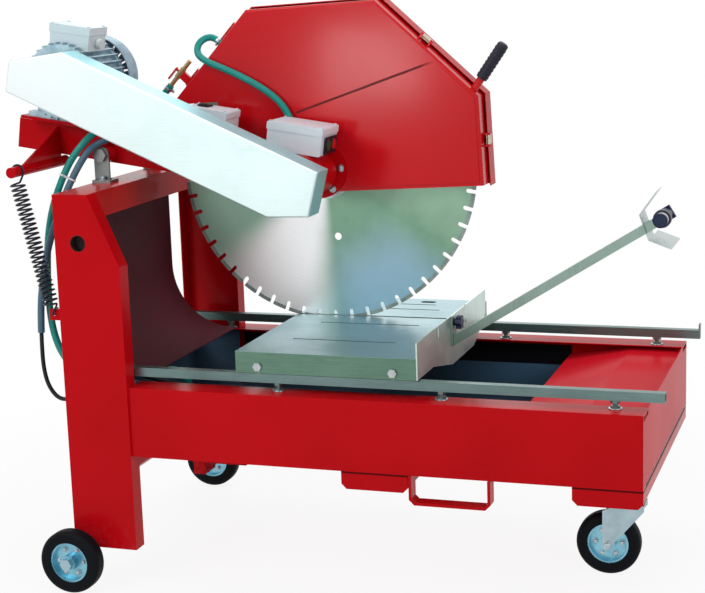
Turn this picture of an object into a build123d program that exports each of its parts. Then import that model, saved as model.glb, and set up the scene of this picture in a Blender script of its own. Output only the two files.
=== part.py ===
"""Wheeled block saw: a tilting saw head on a portal, a water trough with rails and a sliding table."""

from build123d import *
from math import atan2, cos, degrees, hypot, pi, radians, sin, tan
import os

os.makedirs("parts", exist_ok=True)

# Millimetres. Along the machine x is counted from the saw blade's axis, positive towards the
# operator's end of the rails; y is positive away from the belt side; z is up from the floor.

# Saw blade
blade_radius = 450.0
blade_core = 4.6
blade_y = 116.0
blade_dip = 13.5
segment_count = 54
segment_width = 6.4
segment_depth = 11.0
gullet_width = 12.0
gullet_depth = 28.0
arbor_radius = 30.0
pin_hole_radius = 11.0
pin_hole_at = 203.0
pin_hole_angle = 16.4

# Sheet and general clearances
sheet = 3.0
running_gap = 0.05
moving_gap = 1.0

# Trough
trough_right = 1000.0
trough_half_width = 423.0
trough_top = 577.0
trough_bottom = 381.0
rim_width = 82.0
foot_flange = 42.0
ledge_drop = 18.0
ledge_length = 154.0
drip_length = 190.0
drip_fall = 36.0
drip_lip = 24.0
pan_length = 164.0

# Portal: two folded posts and a cross beam
post_left = -602.0
post_width = 191.0
shoulder_width = 105.0
shoulder_drop = 197.0
post_stand_out = 8.0
post_flange = 50.0
post_sheet = 4.0
post_hole_radius = 23.0
post_hole_inset = 70.0
post_hole_drop = 134.0
beam_depth = 72.0
post_right = post_left + post_width
post_shoulder = post_left + shoulder_width
post_web = trough_half_width + post_stand_out
post_hole_x = post_left + post_hole_inset

# Rails and their screw feet
rail_size = 25.0
rail_wall = 2.0
rail_inset = 57.0
rail_overhang = 47.0
rail_start = 45.0
rail_stop = 18.0
foot_height = 23.0
foot_bolt_radius = 6.0
foot_nut_height = 8.0
foot_nut_width = 22.0
foot_inset = 79.0
foot_outset = 22.0
foot_mid_places = (11.0, 467.0)
rail_y = trough_half_width - rail_inset
rail_base = trough_top + foot_height
rail_right = trough_right + rail_overhang
rail_left = post_left + rail_start
foot_places = (post_right - foot_outset, *foot_mid_places, trough_right - foot_inset)

# Sliding table
table_left = -104.0
table_right = 404.0
table_skirt = 58.5
table_lift = 2.0
roller_radius = 19.7
roller_width = 26.0
roller_side_gap = 1.0
table_half_width = rail_y + roller_width / 2 + roller_side_gap + sheet
table_top_z = rail_base + rail_size + table_lift + table_skirt
blade_height = table_top_z + blade_radius - blade_dip

# Channels and fork straps under the trough
channel_depth = 50.0
caster_channel_length = 181.0
mid_channel_left = 200.0
mid_channel_length = 185.0
channel_chamfer = 14.0
channel_inset = 4.0
strap_bar = 8.0
strap_drop = 81.0
strap_chamfer = 16.0
strap_gap = 2.0
front_strap_left = mid_channel_left + mid_channel_length + strap_gap
front_strap_length = 220.0
front_strap_width = 40.0
pan_strap_inset = 10.0
pan_strap_left = post_right - pan_length + pan_strap_inset
pan_strap_length = 110.0
pan_strap_width = 119.0
pan_strap_y = 240.0

# Wheels
wheel_radius = 90.0
wheel_width = 50.0
wheel_stand_off = 66.0
wheel_inset = 24.0
rim_radius = 58.0
hub_radius = 22.0
hub_width = 58.0
axle_radius = 10.0
axle_beam_size = 40.0
axle_nut_height = 12.0
axle_nut_width = 30.0
rim_hole_count = 6
rim_hole_radius = 6.0
rim_hole_at = 37.0
caster_inset = 90.0
caster_trail = 68.0
wheel_y = post_web + wheel_stand_off
wheel_x = post_left + wheel_inset
post_bottom = wheel_radius + axle_beam_size / 2
caster_axis_x = trough_right - caster_inset

# Saw arm, a box beam that rises towards its tail
arm_overhang = 298.0
arm_rise = 8.43
arm_depth = 86.0
arm_near = -120.0
arm_far = 20.0
arm_wall = 4.0
pivot_inset = 22.0
pivot_drop = 18.0
bracket_rise = 78.0
pivot_radius = 12.0
pivot_tube_radius = 24.0
bracket_y = 167.0
bracket_width = 46.0
bracket_plate = 8.0
bracket_foot = 60.0
spring_bar_radius = 15.0
spring_bar_back = 159.0
spring_bar_drop = 65.5
spring_bar_tip = 19.0
spring_inset = 46.0
cable_entry_ahead = 10.0
cable_entry_lift = 25.5
cable_entry_radius = 8.0
arm_slope = tan(radians(arm_rise))
pivot_x = post_left + pivot_inset
pivot_height = blade_height - pivot_x * arm_slope - pivot_drop
post_top = pivot_height - bracket_rise
post_neck = post_top - shoulder_drop
post_hole_z = post_top - post_hole_drop
arm_tail = arm_overhang - pivot_x
spring_y = spring_inset - post_web
spring_bar_x = pivot_x - spring_bar_back
spring_bar_z = blade_height - spring_bar_x * arm_slope - spring_bar_drop
spring_bar_near = spring_y - spring_bar_tip
cable_entry_x = pivot_x + cable_entry_ahead
cable_entry_z = blade_height - cable_entry_x * arm_slope + cable_entry_lift

# Blade hood, two half shells that meet at a seam over the blade
hood_tilt = 2.7
hood_near_face = 60.0
hood_seam = 115.0
hood_far_face = 172.0
hood_gap = 20.0
hood_front_gap = 30.0
hood_back_slope = 260.0
hood_front_slope = 253.0
hood_back_level = 212.0
hood_front_level = 187.0
hood_bottom = -63.0
hood_mouth = -300.0
hood_top = blade_radius + hood_gap
hood_front = blade_radius + hood_front_gap
hood_outline = [
    (-blade_radius, hood_back_level),
    (hood_back_slope - blade_radius, hood_top),
    (blade_radius - hood_front_slope, hood_top),
    (hood_front, hood_front_level),
    (hood_front, hood_bottom),
    (hood_mouth, hood_bottom),
    (hood_mouth, hood_back_level),
]

# The row's origin is midway between the arm's tail and the rail ends
arm_run = cos(radians(arm_rise))
arm_climb = sin(radians(arm_rise))
tail_reach = -arm_tail * arm_run - arm_depth / 2 * arm_climb
origin_x = -(tail_reach + rail_right) / 2


def side(y):
    """Upright plane seen from the belt side; extrusion goes towards it, along -y."""
    return Plane(origin=(origin_x, y, 0), x_dir=(1, 0, 0), z_dir=(0, -1, 0))


def deck(z):
    """Level plane at a height; extrusion goes up."""
    return Plane(origin=(origin_x, 0, z))


def end(x):
    """Upright plane across the machine; local x is y, extrusion goes along +x."""
    return Plane(origin=(origin_x + x, 0, 0), x_dir=(0, 1, 0), z_dir=(1, 0, 0))


def keep(builder, name):
    """Label a finished piece and write it."""
    builder.part.label = name
    export_step(builder.part, f"parts/{name}.step")


# Portal posts: folded channels, open inwards, with a sloping shoulder and a lifting hole
post_outline = [
    (post_left, post_bottom),
    (post_right, post_bottom),
    (post_right, post_neck),
    (post_shoulder, post_top),
    (post_left, post_top),
]
lug_z = 768.0
lug_reach = 55.0
lug_plate = 8.0
lug_height = 32.0
lug_hole_radius = 5.0
lug_hole_inset = 12.0
lug_hole_x = post_left - lug_reach + lug_hole_inset


def post(facing):
    """One post; facing is -1 for the belt side and 1 for the far side."""
    outer_y = facing * post_web
    with BuildPart() as body:
        with BuildSketch(side(outer_y)):
            Polygon(*post_outline, align=None)
        extrude(amount=facing * post_flange)
        with BuildSketch(side(outer_y - facing * post_sheet)) as hollow:
            Polygon(*post_outline, align=None)
            offset(amount=-post_sheet, kind=Kind.INTERSECTION, mode=Mode.REPLACE)
        extrude(amount=facing * post_flange, mode=Mode.SUBTRACT)
        with BuildSketch(side(outer_y)):
            with Locations((post_hole_x, post_hole_z)):
                Circle(post_hole_radius)
        extrude(amount=facing * post_sheet, mode=Mode.SUBTRACT)
        if facing < 0:
            with BuildSketch(side(spring_y + lug_plate / 2)):
                with Locations((post_left - lug_reach / 2, lug_z)):
                    Rectangle(lug_reach, lug_height)
                with Locations((lug_hole_x, lug_z)):
                    Circle(lug_hole_radius, mode=Mode.SUBTRACT)
            extrude(amount=lug_plate)
    return body


near_post = post(-1)
keep(near_post, "near_post")
far_post = post(1)
keep(far_post, "far_post")

# Cross beam between the posts, a folded channel open below
beam_half_length = post_web - post_flange
with BuildPart() as cross_beam:
    with BuildSketch(side(beam_half_length)):
        with Locations(((post_left + post_shoulder) / 2, post_top - beam_depth / 2)):
            Rectangle(post_shoulder - post_left, beam_depth)
        with Locations(((post_left + post_shoulder) / 2, post_top - beam_depth / 2 - post_sheet)):
            Rectangle(post_shoulder - post_left - 2 * post_sheet, beam_depth, mode=Mode.SUBTRACT)
    extrude(amount=2 * beam_half_length)
keep(cross_beam, "cross_beam")


# Trough sides: a wall with an inward rim above and an inward ledge below
def trough_side(facing):
    wall = facing * trough_half_width
    section = [
        (wall, trough_bottom),
        (wall, trough_top),
        (wall - facing * rim_width, trough_top),
        (wall - facing * rim_width, trough_top - sheet),
        (wall - facing * sheet, trough_top - sheet),
        (wall - facing * sheet, trough_bottom + sheet),
        (wall - facing * foot_flange, trough_bottom + sheet),
        (wall - facing * foot_flange, trough_bottom),
    ]
    with BuildPart() as body:
        with BuildSketch(end(post_right)):
            Polygon(*section, align=None)
        extrude(amount=trough_right - post_right)
    return body


trough_near_side = trough_side(-1)
keep(trough_near_side, "trough_near_side")
trough_far_side = trough_side(1)
keep(trough_far_side, "trough_far_side")

# Trough end: wall, level ledge, drip slope and a turned-down lip, folded from one sheet
inner_half_width = trough_half_width - sheet
ledge_z = trough_top - ledge_drop
ledge_x = trough_right - ledge_length
drip_x = ledge_x - drip_length
drip_z = ledge_z - drip_fall
with BuildPart() as trough_end:
    with BuildSketch(side(inner_half_width)):
        with BuildLine():
            fold = Polyline(
                (trough_right - sheet / 2, trough_bottom + 2.5 * sheet),
                (trough_right - sheet / 2, ledge_z),
                (ledge_x, ledge_z),
                (drip_x, drip_z),
                (drip_x, drip_z - drip_lip),
            )
            offset(fold, amount=sheet / 2, side=Side.BOTH, kind=Kind.INTERSECTION)
        make_face()
    extrude(amount=2 * inner_half_width)
    with BuildSketch(end(trough_right)):
        with Locations((0, trough_top - ledge_drop / 2)):
            Rectangle(2 * (trough_half_width - rim_width), ledge_drop)
    extrude(amount=-sheet)
keep(trough_end, "trough_end")

# Trough floor with the splash pan that runs on between the posts
pan_left = post_right - pan_length
pan_half_width = post_web - post_flange - sheet
floor_z = trough_bottom + sheet
pan_height = trough_top - floor_z
with BuildPart() as trough_floor:
    with BuildSketch(deck(floor_z)):
        with Locations(((post_right + trough_right) / 2, 0)):
            Rectangle(trough_right - post_right, 2 * inner_half_width)
        with Locations(((pan_left + post_right) / 2, 0)):
            Rectangle(pan_length, 2 * pan_half_width)
    extrude(amount=sheet)
    with BuildSketch(deck(floor_z)):
        with Locations((pan_left + sheet / 2, 0)):
            Rectangle(sheet, 2 * pan_half_width)
        for wall in (-1, 1):
            with Locations(((pan_left + post_right) / 2, wall * (pan_half_width - sheet / 2))):
                Rectangle(pan_length, sheet)
    extrude(amount=pan_height)
    with BuildSketch(deck(trough_top - sheet)):
        for wall in (-1, 1):
            with Locations(((pan_left + post_right) / 2, wall * (pan_half_width - foot_flange / 2))):
                Rectangle(pan_length, foot_flange)
    extrude(amount=sheet)
keep(trough_floor, "trough_floor")

# Cross channels under the trough: one amidships, one at the end that carries the caster's leg
channel_base = trough_bottom - channel_depth
leg_radius = 32.0
leg_plate = 8.0
leg_plate_size = 120.0
fork_clearance = 31.0
fork_plate = 6.0
kingpin_radius = 10.0
kingpin_length = 70.0
hub_gap = 1.0
fork_crown = 2 * wheel_radius + fork_clearance
leg_base = fork_crown + hub_gap


def channel_outline(left, length):
    return [
        (left, trough_bottom),
        (left, channel_base + channel_chamfer),
        (left + channel_chamfer, channel_base),
        (left + length - channel_chamfer, channel_base),
        (left + length, channel_base + channel_chamfer),
        (left + length, trough_bottom),
    ]


def cross_channel(left, length, leg_x=None):
    """Folded channel across the machine, open upwards; with a caster's leg where leg_x is given."""
    outline = channel_outline(left, length)
    half = trough_half_width - channel_inset
    with BuildPart() as body:
        with BuildSketch(side(half)):
            Polygon(*outline, align=None)
        extrude(amount=2 * half)
        with BuildSketch(side(half - sheet)):
            Polygon(*outline, align=None)
            offset(amount=-sheet, kind=Kind.INTERSECTION, mode=Mode.REPLACE)
            with Locations((left + length / 2, trough_bottom - sheet)):
                Rectangle(length - 2 * sheet, 2 * sheet)
        extrude(amount=2 * (half - sheet), mode=Mode.SUBTRACT)
        if leg_x is not None:
            with BuildSketch(deck(channel_base - leg_plate)):
                with Locations((leg_x, 0)):
                    RectangleRounded(leg_plate_size, leg_plate_size, channel_chamfer)
            extrude(amount=leg_plate)
            with BuildSketch(deck(leg_base)):
                with Locations((leg_x, 0)):
                    Circle(leg_radius)
            extrude(amount=channel_base - leg_base)
            with BuildSketch(deck(leg_base)):
                with Locations((leg_x, 0)):
                    Circle(kingpin_radius + running_gap)
            extrude(amount=kingpin_length, mode=Mode.SUBTRACT)
    return body


mid_channel = cross_channel(mid_channel_left, mid_channel_length)
keep(mid_channel, "mid_channel")
caster_channel_left = trough_right - caster_channel_length
caster_channel = cross_channel(caster_channel_left, caster_channel_length, caster_axis_x)
keep(caster_channel, "caster_channel")

# Fork straps: flat bars folded into shallow loops under the trough and under the splash pan
fork_straps = BuildPart()
with fork_straps:
    for hand in (-1, 1):
        for left, length, width, middle, top in (
            (front_strap_left, front_strap_length, front_strap_width,
             trough_half_width - foot_flange / 2, trough_bottom),
            (pan_strap_left, pan_strap_length, pan_strap_width, pan_strap_y, floor_z),
        ):
            bottom = trough_bottom - strap_drop
            with BuildSketch(side(hand * middle + width / 2)):
                with BuildLine():
                    bar = Polyline(
                        (left + strap_bar / 2, top - strap_bar / 2),
                        (left + strap_bar / 2, bottom + strap_chamfer),
                        (left + strap_chamfer, bottom + strap_bar / 2),
                        (left + length - strap_chamfer, bottom + strap_bar / 2),
                        (left + length - strap_bar / 2, bottom + strap_chamfer),
                        (left + length - strap_bar / 2, top - strap_bar / 2),
                    )
                    offset(bar, amount=strap_bar / 2, side=Side.BOTH, kind=Kind.INTERSECTION)
                make_face()
            extrude(amount=width)
keep(fork_straps, "fork_straps")


# Table rails: square tubes, the far one with an upturned stop
def rail(facing):
    with BuildPart() as body:
        with BuildSketch(end(rail_left)):
            with Locations((facing * rail_y, rail_base + rail_size / 2)):
                Rectangle(rail_size, rail_size)
                Rectangle(rail_size - 2 * rail_wall, rail_size - 2 * rail_wall, mode=Mode.SUBTRACT)
        extrude(amount=rail_right - rail_left)
        if facing > 0:
            with BuildSketch(end(rail_right)):
                with Locations((rail_y, rail_base + (rail_size + rail_stop) / 2)):
                    Rectangle(rail_size, rail_size + rail_stop)
            extrude(amount=-rail_wall * 2)
    return body


near_rail = rail(-1)
keep(near_rail, "near_rail")
far_rail = rail(1)
keep(far_rail, "far_rail")

with BuildPart() as rail_feet:
    for facing in (-1, 1):
        for place in foot_places:
            with BuildSketch(deck(trough_top)):
                with Locations((place, facing * rail_y)):
                    Circle(foot_bolt_radius)
            extrude(amount=rail_base - trough_top)
            with BuildSketch(deck(trough_top), deck(rail_base - foot_nut_height)):
                with Locations((place, facing * rail_y)):
                    RegularPolygon(foot_nut_width / 2, 6, major_radius=False)
            extrude(amount=foot_nut_height)
keep(rail_feet, "rail_feet")

# Splash shield: a sheet that hangs from the beam and curves forward over the pan
shield_gap = 2.0
shield_lift = 13.0
shield_x = post_left + shield_gap
shield_half_width = 300.0
shield_bend = 200.0
shield_lip = 12.0
shield_bottom = trough_top + shield_lift
shield_top = post_top - beam_depth
bend_centre = (shield_x + shield_bend, shield_bottom + shield_bend)
lip_end = bend_centre[0] + shield_lip
with BuildPart() as splash_shield:
    with BuildSketch(side(shield_half_width)):
        with BuildLine():
            outer = CenterArc(bend_centre, shield_bend, 180, 90)
            inner = CenterArc(bend_centre, shield_bend - sheet, 180, 90)
            Polyline(outer @ 0, (shield_x, shield_top), (shield_x + sheet, shield_top), inner @ 0)
            Polyline(outer @ 1, (lip_end, shield_bottom), (lip_end, shield_bottom + sheet), inner @ 1)
        make_face()
    extrude(amount=2 * shield_half_width)
keep(splash_shield, "splash_shield")

# Pivot brackets on the beam and the pivot pin
with BuildPart() as pivot_brackets:
    for hand in (-1, 1):
        with BuildSketch(deck(post_top)):
            with Locations((pivot_x + (bracket_foot - bracket_width) / 2, hand * bracket_y)):
                RectangleRounded(bracket_foot, bracket_foot, bracket_plate)
        extrude(amount=bracket_plate)
        with BuildSketch(side(hand * bracket_y + bracket_plate / 2)):
            with Locations((pivot_x, (post_top + pivot_height) / 2)):
                Rectangle(bracket_width, pivot_height - post_top)
            with Locations((pivot_x, pivot_height)):
                Circle(bracket_width / 2)
                Circle(pivot_radius + running_gap, mode=Mode.SUBTRACT)
        extrude(amount=bracket_plate)
keep(pivot_brackets, "pivot_brackets")

pin_head_height = 14.0
pin_head_width = 36.0
pin_gap = 0.5
pin_half_length = bracket_y + bracket_plate / 2 + pin_gap
with BuildPart() as pivot_pin:
    with BuildSketch(side(pin_half_length)):
        with Locations((pivot_x, pivot_height)):
            Circle(pivot_radius)
    extrude(amount=2 * pin_half_length)
    for face in (pin_half_length + pin_head_height, -pin_half_length):
        with BuildSketch(side(face)):
            with Locations((pivot_x, pivot_height)):
                RegularPolygon(pin_head_width / 2, 6, major_radius=False)
        extrude(amount=pin_head_height)
keep(pivot_pin, "pivot_pin")

# Axle beam in two short lengths, one under each post, each with a stub axle and nut
axle_start = post_web - post_flange
axle_end = wheel_y - hub_width / 2 - sheet
nut_face = wheel_y + hub_width / 2 + hub_gap
with BuildPart() as axle_beam:
    for hand in (-1, 1):
        with BuildSketch(side(hand * axle_start)):
            with Locations((wheel_x, wheel_radius)):
                Rectangle(axle_beam_size, axle_beam_size)
        extrude(amount=-hand * (axle_end - axle_start))
        with BuildSketch(side(hand * axle_end)):
            with Locations((wheel_x, wheel_radius)):
                Circle(axle_radius)
        extrude(amount=hand * (axle_end - nut_face))
        with BuildSketch(side(hand * nut_face)):
            with Locations((wheel_x, wheel_radius)):
                RegularPolygon(axle_nut_width / 2, 6, major_radius=False)
        extrude(amount=-hand * axle_nut_height)
keep(axle_beam, "axle_beam")


# Wheels: a rubber tyre on a pressed rim with a hub; the caster's wheel is the same
tyre_inner = rim_radius
tyre_round = 14.0
rim_flange = 5.0
rim_web = 6.0
wheel_rim_width = 40.0


def tyre(x, y):
    with BuildPart() as body:
        with BuildSketch(deck(wheel_radius)) as section:
            with Locations((x + (tyre_inner + wheel_radius) / 2, y)):
                Rectangle(wheel_radius - tyre_inner, wheel_width)
            fillet(section.vertices().group_by(Axis.X)[-1], tyre_round)
        revolve(axis=Axis((origin_x + x, 0, wheel_radius), (0, 1, 0)))
    return body


def wheel_rim(x, y):
    with BuildPart() as body:
        with BuildSketch(deck(wheel_radius)):
            with Locations((x + (hub_radius + axle_radius + running_gap) / 2, y)):
                Rectangle(hub_radius - axle_radius - running_gap, hub_width)
            with Locations((x + (hub_radius + tyre_inner) / 2, y)):
                Rectangle(tyre_inner - hub_radius, rim_web)
            with Locations((x + tyre_inner - rim_flange / 2, y)):
                Rectangle(rim_flange, wheel_rim_width)
        revolve(axis=Axis((origin_x + x, 0, wheel_radius), (0, 1, 0)))
        with BuildSketch(side(y + rim_web)):
            with Locations((x, wheel_radius)):
                with PolarLocations(rim_hole_at, rim_hole_count):
                    Circle(rim_hole_radius)
        extrude(amount=2 * rim_web, mode=Mode.SUBTRACT)
    return body


caster_wheel_x = caster_axis_x - caster_trail
for wheel_name, place_x, place_y in (
    ("near", wheel_x, -wheel_y),
    ("far", wheel_x, wheel_y),
    ("caster", caster_wheel_x, 0),
):
    keep(tyre(place_x, place_y), f"{wheel_name}_tyre")
    keep(wheel_rim(place_x, place_y), f"{wheel_name}_rim")

# Caster fork: crown with a kingpin, two legs that lean back to the axle, and the axle bolt
fork_inner = hub_width / 2 + hub_gap
fork_boss = 13.0
crown_radius = 34.0
leg_outline = [
    (caster_wheel_x - fork_boss, wheel_radius),
    (caster_wheel_x - fork_boss, fork_crown - 2 * crown_radius / 3),
    (caster_axis_x - crown_radius, fork_crown),
    (caster_axis_x + crown_radius, fork_crown),
    (caster_axis_x + crown_radius, fork_crown - crown_radius / 2),
    (caster_wheel_x + fork_boss, wheel_radius),
]
with BuildPart() as caster_fork:
    for face in (fork_inner + fork_plate, -fork_inner):
        with BuildSketch(side(face)):
            Polygon(*leg_outline, align=None)
            with Locations((caster_wheel_x, wheel_radius)):
                Circle(fork_boss)
        extrude(amount=fork_plate)
    with BuildSketch(deck(fork_crown - fork_plate)):
        with Locations((caster_axis_x, 0)):
            Rectangle(2 * crown_radius, 2 * fork_inner + fork_plate)
    extrude(amount=fork_plate)
    with BuildSketch(deck(fork_crown)):
        with Locations((caster_axis_x, 0)):
            Circle(kingpin_radius)
    extrude(amount=kingpin_length - hub_gap)
    with BuildSketch(side(fork_inner + fork_plate)):
        with Locations((caster_wheel_x, wheel_radius)):
            Circle(axle_radius)
    extrude(amount=2 * (fork_inner + fork_plate))
keep(caster_fork, "caster_fork")

# Submersible pump in the trough's left end, with its upright outlet
pump_x = -300.0
pump_y = -230.0
pump_radius = 48.0
pump_height = 105.0
pump_foot = 14.0
outlet_radius = 8.0
outlet_height = 22.0
pump_base = floor_z + sheet
with BuildPart() as water_pump:
    with BuildSketch(deck(pump_base)):
        with Locations((pump_x, pump_y)):
            Circle(pump_radius)
    extrude(amount=pump_foot)
    with BuildSketch(deck(pump_base + pump_foot)):
        with Locations((pump_x, pump_y)):
            Circle(pump_radius - pump_foot / 2)
    extrude(amount=pump_height - pump_foot)
    fillet(water_pump.edges().filter_by(GeomType.CIRCLE).group_by(Axis.Z)[-1], pump_foot)
    with BuildSketch(deck(pump_base + pump_height - 1)):
        with Locations((pump_x - pump_foot, pump_y)):
            Circle(outlet_radius)
    extrude(amount=outlet_height + 1)
keep(water_pump, "water_pump")


def arm(y):
    """Upright plane along the arm: origin on the blade axis, local x towards the blade end."""
    return Plane(origin=(origin_x, y, blade_height), x_dir=(arm_run, 0, -arm_climb), z_dir=(0, -1, 0))


def on_arm(x, z):
    """A point given along the machine, in the arm's own directions."""
    rise = z - blade_height
    return (x * arm_run - rise * arm_climb, x * arm_climb + rise * arm_run)


# Saw arm: a closed box beam with a pivot tube, a round spindle end and the spring's outrigger
housing_radius = 50.0
arm_nose = 62.0
tube_half_length = bracket_y - bracket_plate / 2 - sheet
outrigger_plate = 6.0
outrigger_rise = 36.5
outrigger_end = 13.0
outrigger_top = blade_height - spring_bar_x * arm_slope + outrigger_rise
outrigger_tip = spring_y + outrigger_end
gland_radius = 15.0
gland_length = 14.0
gland_gap = 0.5
hose_radius = 10.0
arm_width = arm_far - arm_near
pivot_on_arm = on_arm(pivot_x, pivot_height)
with BuildPart() as arm_beam:
    with BuildSketch(arm(arm_far)):
        with Locations((-arm_tail / 2, 0)):
            Rectangle(arm_tail, arm_depth)
        Circle(arm_nose)
    extrude(amount=arm_width)
    with BuildSketch(arm(arm_far - arm_wall)):
        with Locations((-(arm_tail + arm_nose) / 2, 0)):
            Rectangle(arm_tail - arm_nose - 2 * arm_wall, arm_depth - 2 * arm_wall)
    extrude(amount=arm_width - 2 * arm_wall, mode=Mode.SUBTRACT)
    with BuildSketch(side(tube_half_length)):
        with Locations((pivot_x, pivot_height)):
            Circle(pivot_tube_radius)
    extrude(amount=2 * tube_half_length)
    with BuildSketch(side(spring_bar_near)):
        with Locations((spring_bar_x, spring_bar_z)):
            Circle(spring_bar_radius)
    extrude(amount=spring_bar_near - arm_near - 2 * spring_bar_radius)
    with BuildSketch(end(spring_bar_x - outrigger_plate / 2)):
        Polygon(
            (outrigger_tip, spring_bar_z),
            (arm_near + arm_wall / 2, spring_bar_z),
            (arm_near + arm_wall / 2, outrigger_top),
            align=None,
        )
    extrude(amount=outrigger_plate)
    with BuildSketch(side(tube_half_length)):
        with Locations((pivot_x, pivot_height)):
            Circle(pivot_radius + running_gap)
    extrude(amount=2 * tube_half_length, mode=Mode.SUBTRACT)
    with BuildSketch(arm(arm_far)):
        Circle(housing_radius + running_gap)
    extrude(amount=arm_width, mode=Mode.SUBTRACT)
    with BuildSketch(side(arm_near + arm_wall)):
        with Locations((cable_entry_x, cable_entry_z)):
            Circle(cable_entry_radius)
    extrude(amount=arm_wall, mode=Mode.SUBTRACT)
    with BuildSketch(side(arm_near)):
        with Locations((cable_entry_x, cable_entry_z)):
            Circle(gland_radius)
            Circle(hose_radius + gland_gap, mode=Mode.SUBTRACT)
    extrude(amount=gland_length)
keep(arm_beam, "arm_beam")

# Motor: slide plate on runners, finned body with feet and terminal box, fan cowl
motor_back = 110.0
motor_lift = 4.0
motor_length = 206.0
motor_core = 94.0
motor_fins = 32
fin_depth = 14.0
fin_thickness = 4.0
shield_step = 10.0
shield_thickness = 18.0
cowl_step = 11.0
cowl_length = 72.0
grille_rings = {45.0: 34.0, 82.0: 30.0}
grille_slots = 20
grille_width = 5.0
cowl_wall = 2.5
cowl_round = 16.0
runner_height = 12.0
runner_width = 30.0
plate_thickness = 8.0
plate_length = 230.0
foot_length = 190.0
foot_thickness = 14.0
foot_width = 40.0
foot_web = 134.0
box_length = 128.0
box_depth = 108.0
box_height = 68.0
box_inset = 28.0
box_sink = 4.0
box_shift = 7.0
lid_lap = 2.5
lid_height = 24.0
box_gland_radius = 11.0
box_gland_length = 14.0
motor_x = pivot_x - motor_back
motor_far = arm_far
motor_near = motor_far - motor_length
fin_radius = motor_core + fin_depth
shield_radius = motor_core + shield_step
cowl_radius = fin_radius + cowl_step
motor_height = fin_radius + motor_lift
box_near = motor_near + box_inset
motor_seat = arm_depth / 2 + runner_height + plate_thickness
motor_axis = (motor_x / arm_run - (motor_seat + motor_height) * tan(radians(arm_rise)),
              motor_seat + motor_height)
motor_shaft_radius = 14.0
box_middle = motor_axis[0] + box_shift
box_base = motor_axis[1] + motor_core - box_sink
motor_level = arm(0).from_local_coords((*motor_axis, 0)).Z

with BuildPart() as motor_plate:
    with BuildSketch(arm(arm_far)):
        with Locations((motor_axis[0], motor_seat - plate_thickness / 2)):
            Rectangle(plate_length, plate_thickness)
    extrude(amount=arm_far - motor_near)
    with BuildSketch(arm(arm_far)):
        for place in (-1, 1):
            with Locations((motor_axis[0] + place * (plate_length - runner_width) / 2,
                            (arm_depth + runner_height) / 2)):
                Rectangle(runner_width, runner_height)
    extrude(amount=arm_width)
keep(motor_plate, "motor_plate")

with BuildPart() as motor_body:
    with BuildSketch(arm(motor_far)):
        with Locations(motor_axis):
            Circle(motor_core)
            with PolarLocations((motor_core + fin_radius) / 2, motor_fins):
                Rectangle(fin_radius - motor_core + fin_thickness, fin_thickness)
    extrude(amount=motor_far - motor_near)
    for face in (motor_far, motor_near + shield_thickness):
        with BuildSketch(arm(face)):
            with Locations(motor_axis):
                Circle(shield_radius)
        extrude(amount=shield_thickness)
    for place in (-1, 1):
        foot_middle = (motor_near + motor_far) / 2 + place * (foot_length - foot_width) / 2
        with BuildSketch(arm(foot_middle + foot_width / 2)):
            with Locations((motor_axis[0], motor_seat + foot_thickness / 2)):
                Rectangle(foot_length, foot_thickness)
            with Locations((motor_axis[0], motor_seat + motor_height / 4)):
                Rectangle(foot_web, motor_height / 2)
        extrude(amount=foot_width)
    with BuildSketch(arm(box_near + box_depth - lid_lap)):
        with Locations((box_middle, box_base + box_height / 2)):
            Rectangle(box_length - 2 * lid_lap, box_height)
    extrude(amount=box_depth - 2 * lid_lap)
    with BuildSketch(arm(box_near + box_depth)):
        with Locations((box_middle, box_base + box_height - lid_height / 2)):
            RectangleRounded(box_length, lid_height, lid_lap)
    extrude(amount=box_depth)
    gland_place = (box_middle + box_length / 2 - lid_lap, box_base + (box_height - lid_height) / 2,
                   -box_near - box_depth / 2)
    with BuildSketch(Plane(arm(0).from_local_coords(gland_place), x_dir=(0, 1, 0), z_dir=arm(0).x_dir)):
        RegularPolygon(box_gland_radius, 6)
    extrude(amount=box_gland_length)
    with BuildSketch(arm(motor_near + 2 * shield_thickness)):
        with Locations(motor_axis):
            Circle(motor_shaft_radius + running_gap)
    extrude(amount=2 * shield_thickness, mode=Mode.SUBTRACT)
keep(motor_body, "motor_body")

with BuildPart() as motor_cowl:
    with BuildSketch(arm(motor_far + cowl_length)):
        with Locations(motor_axis):
            Circle(cowl_radius)
    extrude(amount=cowl_length)
    fillet(motor_cowl.edges().filter_by(GeomType.CIRCLE).sort_by(Axis.Y)[-1], cowl_round)
    with BuildSketch(arm(motor_far + cowl_length - 2 * cowl_wall)):
        with Locations(motor_axis):
            Circle(cowl_radius - cowl_round)
    extrude(amount=cowl_length, mode=Mode.SUBTRACT)
    with BuildSketch(arm(motor_far + cowl_length - cowl_round)):
        with Locations(motor_axis):
            Circle(cowl_radius - cowl_wall)
    extrude(amount=cowl_length, mode=Mode.SUBTRACT)
    with BuildSketch(arm(motor_far + cowl_length)):
        with Locations(motor_axis):
            for ring, length in grille_rings.items():
                with PolarLocations(ring, grille_slots):
                    SlotOverall(length, grille_width)
    extrude(amount=2 * cowl_wall, mode=Mode.SUBTRACT)
keep(motor_cowl, "motor_cowl")

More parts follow.
